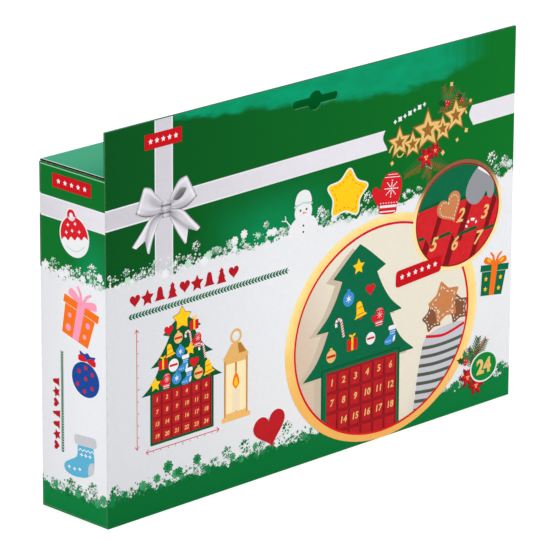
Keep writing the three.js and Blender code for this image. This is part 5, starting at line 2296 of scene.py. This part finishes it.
def body_and_outline(node):
    """A copy of the node's body with large flat faces, and the outline of its front, in millimetres."""
    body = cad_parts[node].data.copy()
    body.transform(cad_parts[node].matrix_world)
    outline = []

    def simplify(shell):
        bmesh.ops.remove_doubles(shell, verts=shell.verts, dist=1e-6)
        bmesh.ops.dissolve_limit(shell, angle_limit=math.radians(1), verts=shell.verts, edges=shell.edges)
        front = min(shell.faces, key=lambda face: (round(face.normal.y, 2), -face.calc_area()))
        outline.extend((corner.vert.co.x / MM, corner.vert.co.z / MM) for corner in front.loops)

    edit_mesh(body, simplify)
    return body, outline


def garland(low, reach):
    """A band in shallow waves across a fir."""
    wave = [(-reach, low + 1.6), (-reach / 2, low - 1), (0, low + 0.6), (reach / 2, low - 1),
            (reach, low + 1.6)]
    return line_band(smooth_line(wave, 5), 1.8)


def cane_stripes():
    """Slanting stripes up a cane's stem, then three round its hook."""
    stem = [(7.2, 3), (14.8, 5.6), (14.8, 9.2), (7.2, 6.6)]
    stripes = [moved(stem, 0, 7.5 * step) for step in range(5)]
    for first in (20, 75, 130):
        angles = [math.radians(first + 6 * step) for step in range(5)]
        hook = [(11 * math.cos(angle), 40 + 11 * math.sin(angle)) for angle in angles]
        stripes.append(line_band(hook, 7.4))
    return stripes


def copies(shape, *places):
    return [moved(shape, *place) for place in places]


HOUSE_ROOF = [(-20.5, 25.4), (0, 46.6), (20.5, 25.4), (16.5, 25.4), (0, 42.4), (-16.5, 25.4)]

# Felt trimmings of each kind of ornament: which of its trim felts, the levels they are raised by, and
# their outlines. Places are from the ornament's foot, at its middle
TRIMMINGS = {
    "star": [("trim", 0, moved(star(8.5), 0, 21))],
    "heart": [("trim", 0, moved(heart(19), 0, 27))],
    "bell": [("trim", 0, box(-13.5, 12.5, 13.5, 15.5), box(-9.5, 31, 9.5, 33.5), dot(0, 4.4, 3.6, 20))],
    "fir": [
        *[("trim", 0, garland(low, reach)) for low, reach in ((14, 13.5), (29, 9.5), (43, 5))],
        ("contrast", 0, *copies(dot(0, 0, 1.9, 16), (-7, 20), (7, 21), (0, 35), (-3, 47))),
    ],
    "stocking": [
        ("trim", 0, rounded(box(-20, 40, 0, 50.5), 1.2), dot(-13.5, 8.5, 5.5, 20)),
        ("contrast", 0, *copies(star(2.6), (-10, 32), (-12, 22), (0, 12), (11, 11))),
    ],
    "mitten": [("trim", 0, rounded(box(-20.5, 1.5, 6.5, 10.5), 1.2), moved(crystal(8.5), -7, 29))],
    "cane": [("trim", 0, stripe) for stripe in cane_stripes()],
    "bauble": [
        ("trim", 0, box(-20, 20, 20, 26), box(-4.5, 46.2, 4.5, 48.8)),
        ("contrast", 2, *[dot(-15 + 7.5 * step, 23, 1.7, 16) for step in range(5)]),
        ("trim", 0, *copies(star(3.2), (-9, 34), (9, 34), (-9, 11), (9, 11), (0, 38))),
    ],
    "house": [
        ("trim", 0, rounded(box(-4.5, 3, 4.5, 17), 1.5), box(-15.5, 9, -8.5, 16), box(8.5, 9, 15.5, 16)),
        ("contrast", 0, HOUSE_ROOF),
        ("contrast", 2, dot(2.6, 9.5, 0.9, 12)),
    ],
    "gift": [
        ("trim", 0, box(-3.2, 2.4, 3.2, 33)),
        ("trim", 0, box(-18.6, 14, -3.3, 19.5), box(3.3, 14, 18.6, 19.5)),
        ("trim", 0, dot(-9, 43, 3.4, 20), dot(9, 43, 3.4, 20), dot(0, 37.4, 2.2, 20)),
    ],
}

# The felts of each kind's two copies
ORNAMENTS = {
    "star": ("gold", "red"),
    "heart": ("red", "white"),
    "bell": ("gold", "red"),
    "fir": ("green", "white"),
    "stocking": ("red", "blue"),
    "mitten": ("white", "red"),
    "cane": ("red", "white"),
    "bauble": ("blue", "gold"),
    "house": ("brown", "red"),
    "gift": ("green", "gold"),
}

# For each felt: the felts of its trimmings, and its thread
TRIM_COLOURS = {
    "gold": {"trim": "red", "contrast": "red", "thread": "white"},
    "red": {"trim": "white", "contrast": "gold", "thread": "white"},
    "white": {"trim": "red", "contrast": "red", "thread": "gold"},
    "green": {"trim": "white", "contrast": "gold", "thread": "white"},
    "blue": {"trim": "white", "contrast": "white", "thread": "white"},
    "brown": {"trim": "white", "contrast": "white", "thread": "white"},
}


def make_ornament(kind, copy, colour):
    node = f"felt_{kind}_{copy}"
    low, high = (Vector(corner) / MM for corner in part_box(node))
    middle = (low.y + high.y) / 2
    body, outline = body_and_outline(node)
    colour_with(body, FELTS[colour])
    squeeze = LAYER_FELT / (high.y - low.y)
    parts = [rounded_layer(node, body, middle, squeeze, side) for side in (-1, 1)]
    colours = TRIM_COLOURS[colour]
    thread = THREADS[colours["thread"]]
    for side in (-1, 1):
        name = f"trim_{side}"
        FACES[name] = ((0, middle + side * LAYER_FELT, 0), (-side, 0, 0), (0, 0, 1))
        sheet = Print(name, name)
        seen = [(-side * px, pz) for px, pz in outline]
        sheet.lay(thread, STITCH_LEVEL, *dashes(grown(seen, -STITCH_INSET), *ORNAMENT_STITCH))
        if side == -1:
            front = Motif(sheet, TRIM_LEVEL, (low.x + high.x) / 2, low.z)
            for use, rise, *outlines in TRIMMINGS[kind]:
                front.lay(FELTS[colours[use]], rise, *outlines)
        parts.append(sheet.shape())
    piece = joined(f"sewn_{kind}_{copy}", parts)
    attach(piece, "carton")
    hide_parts(node)


for kind, colours in ORNAMENTS.items():
    for copy, colour in enumerate(colours, 1):
        make_ornament(kind, copy, colour)
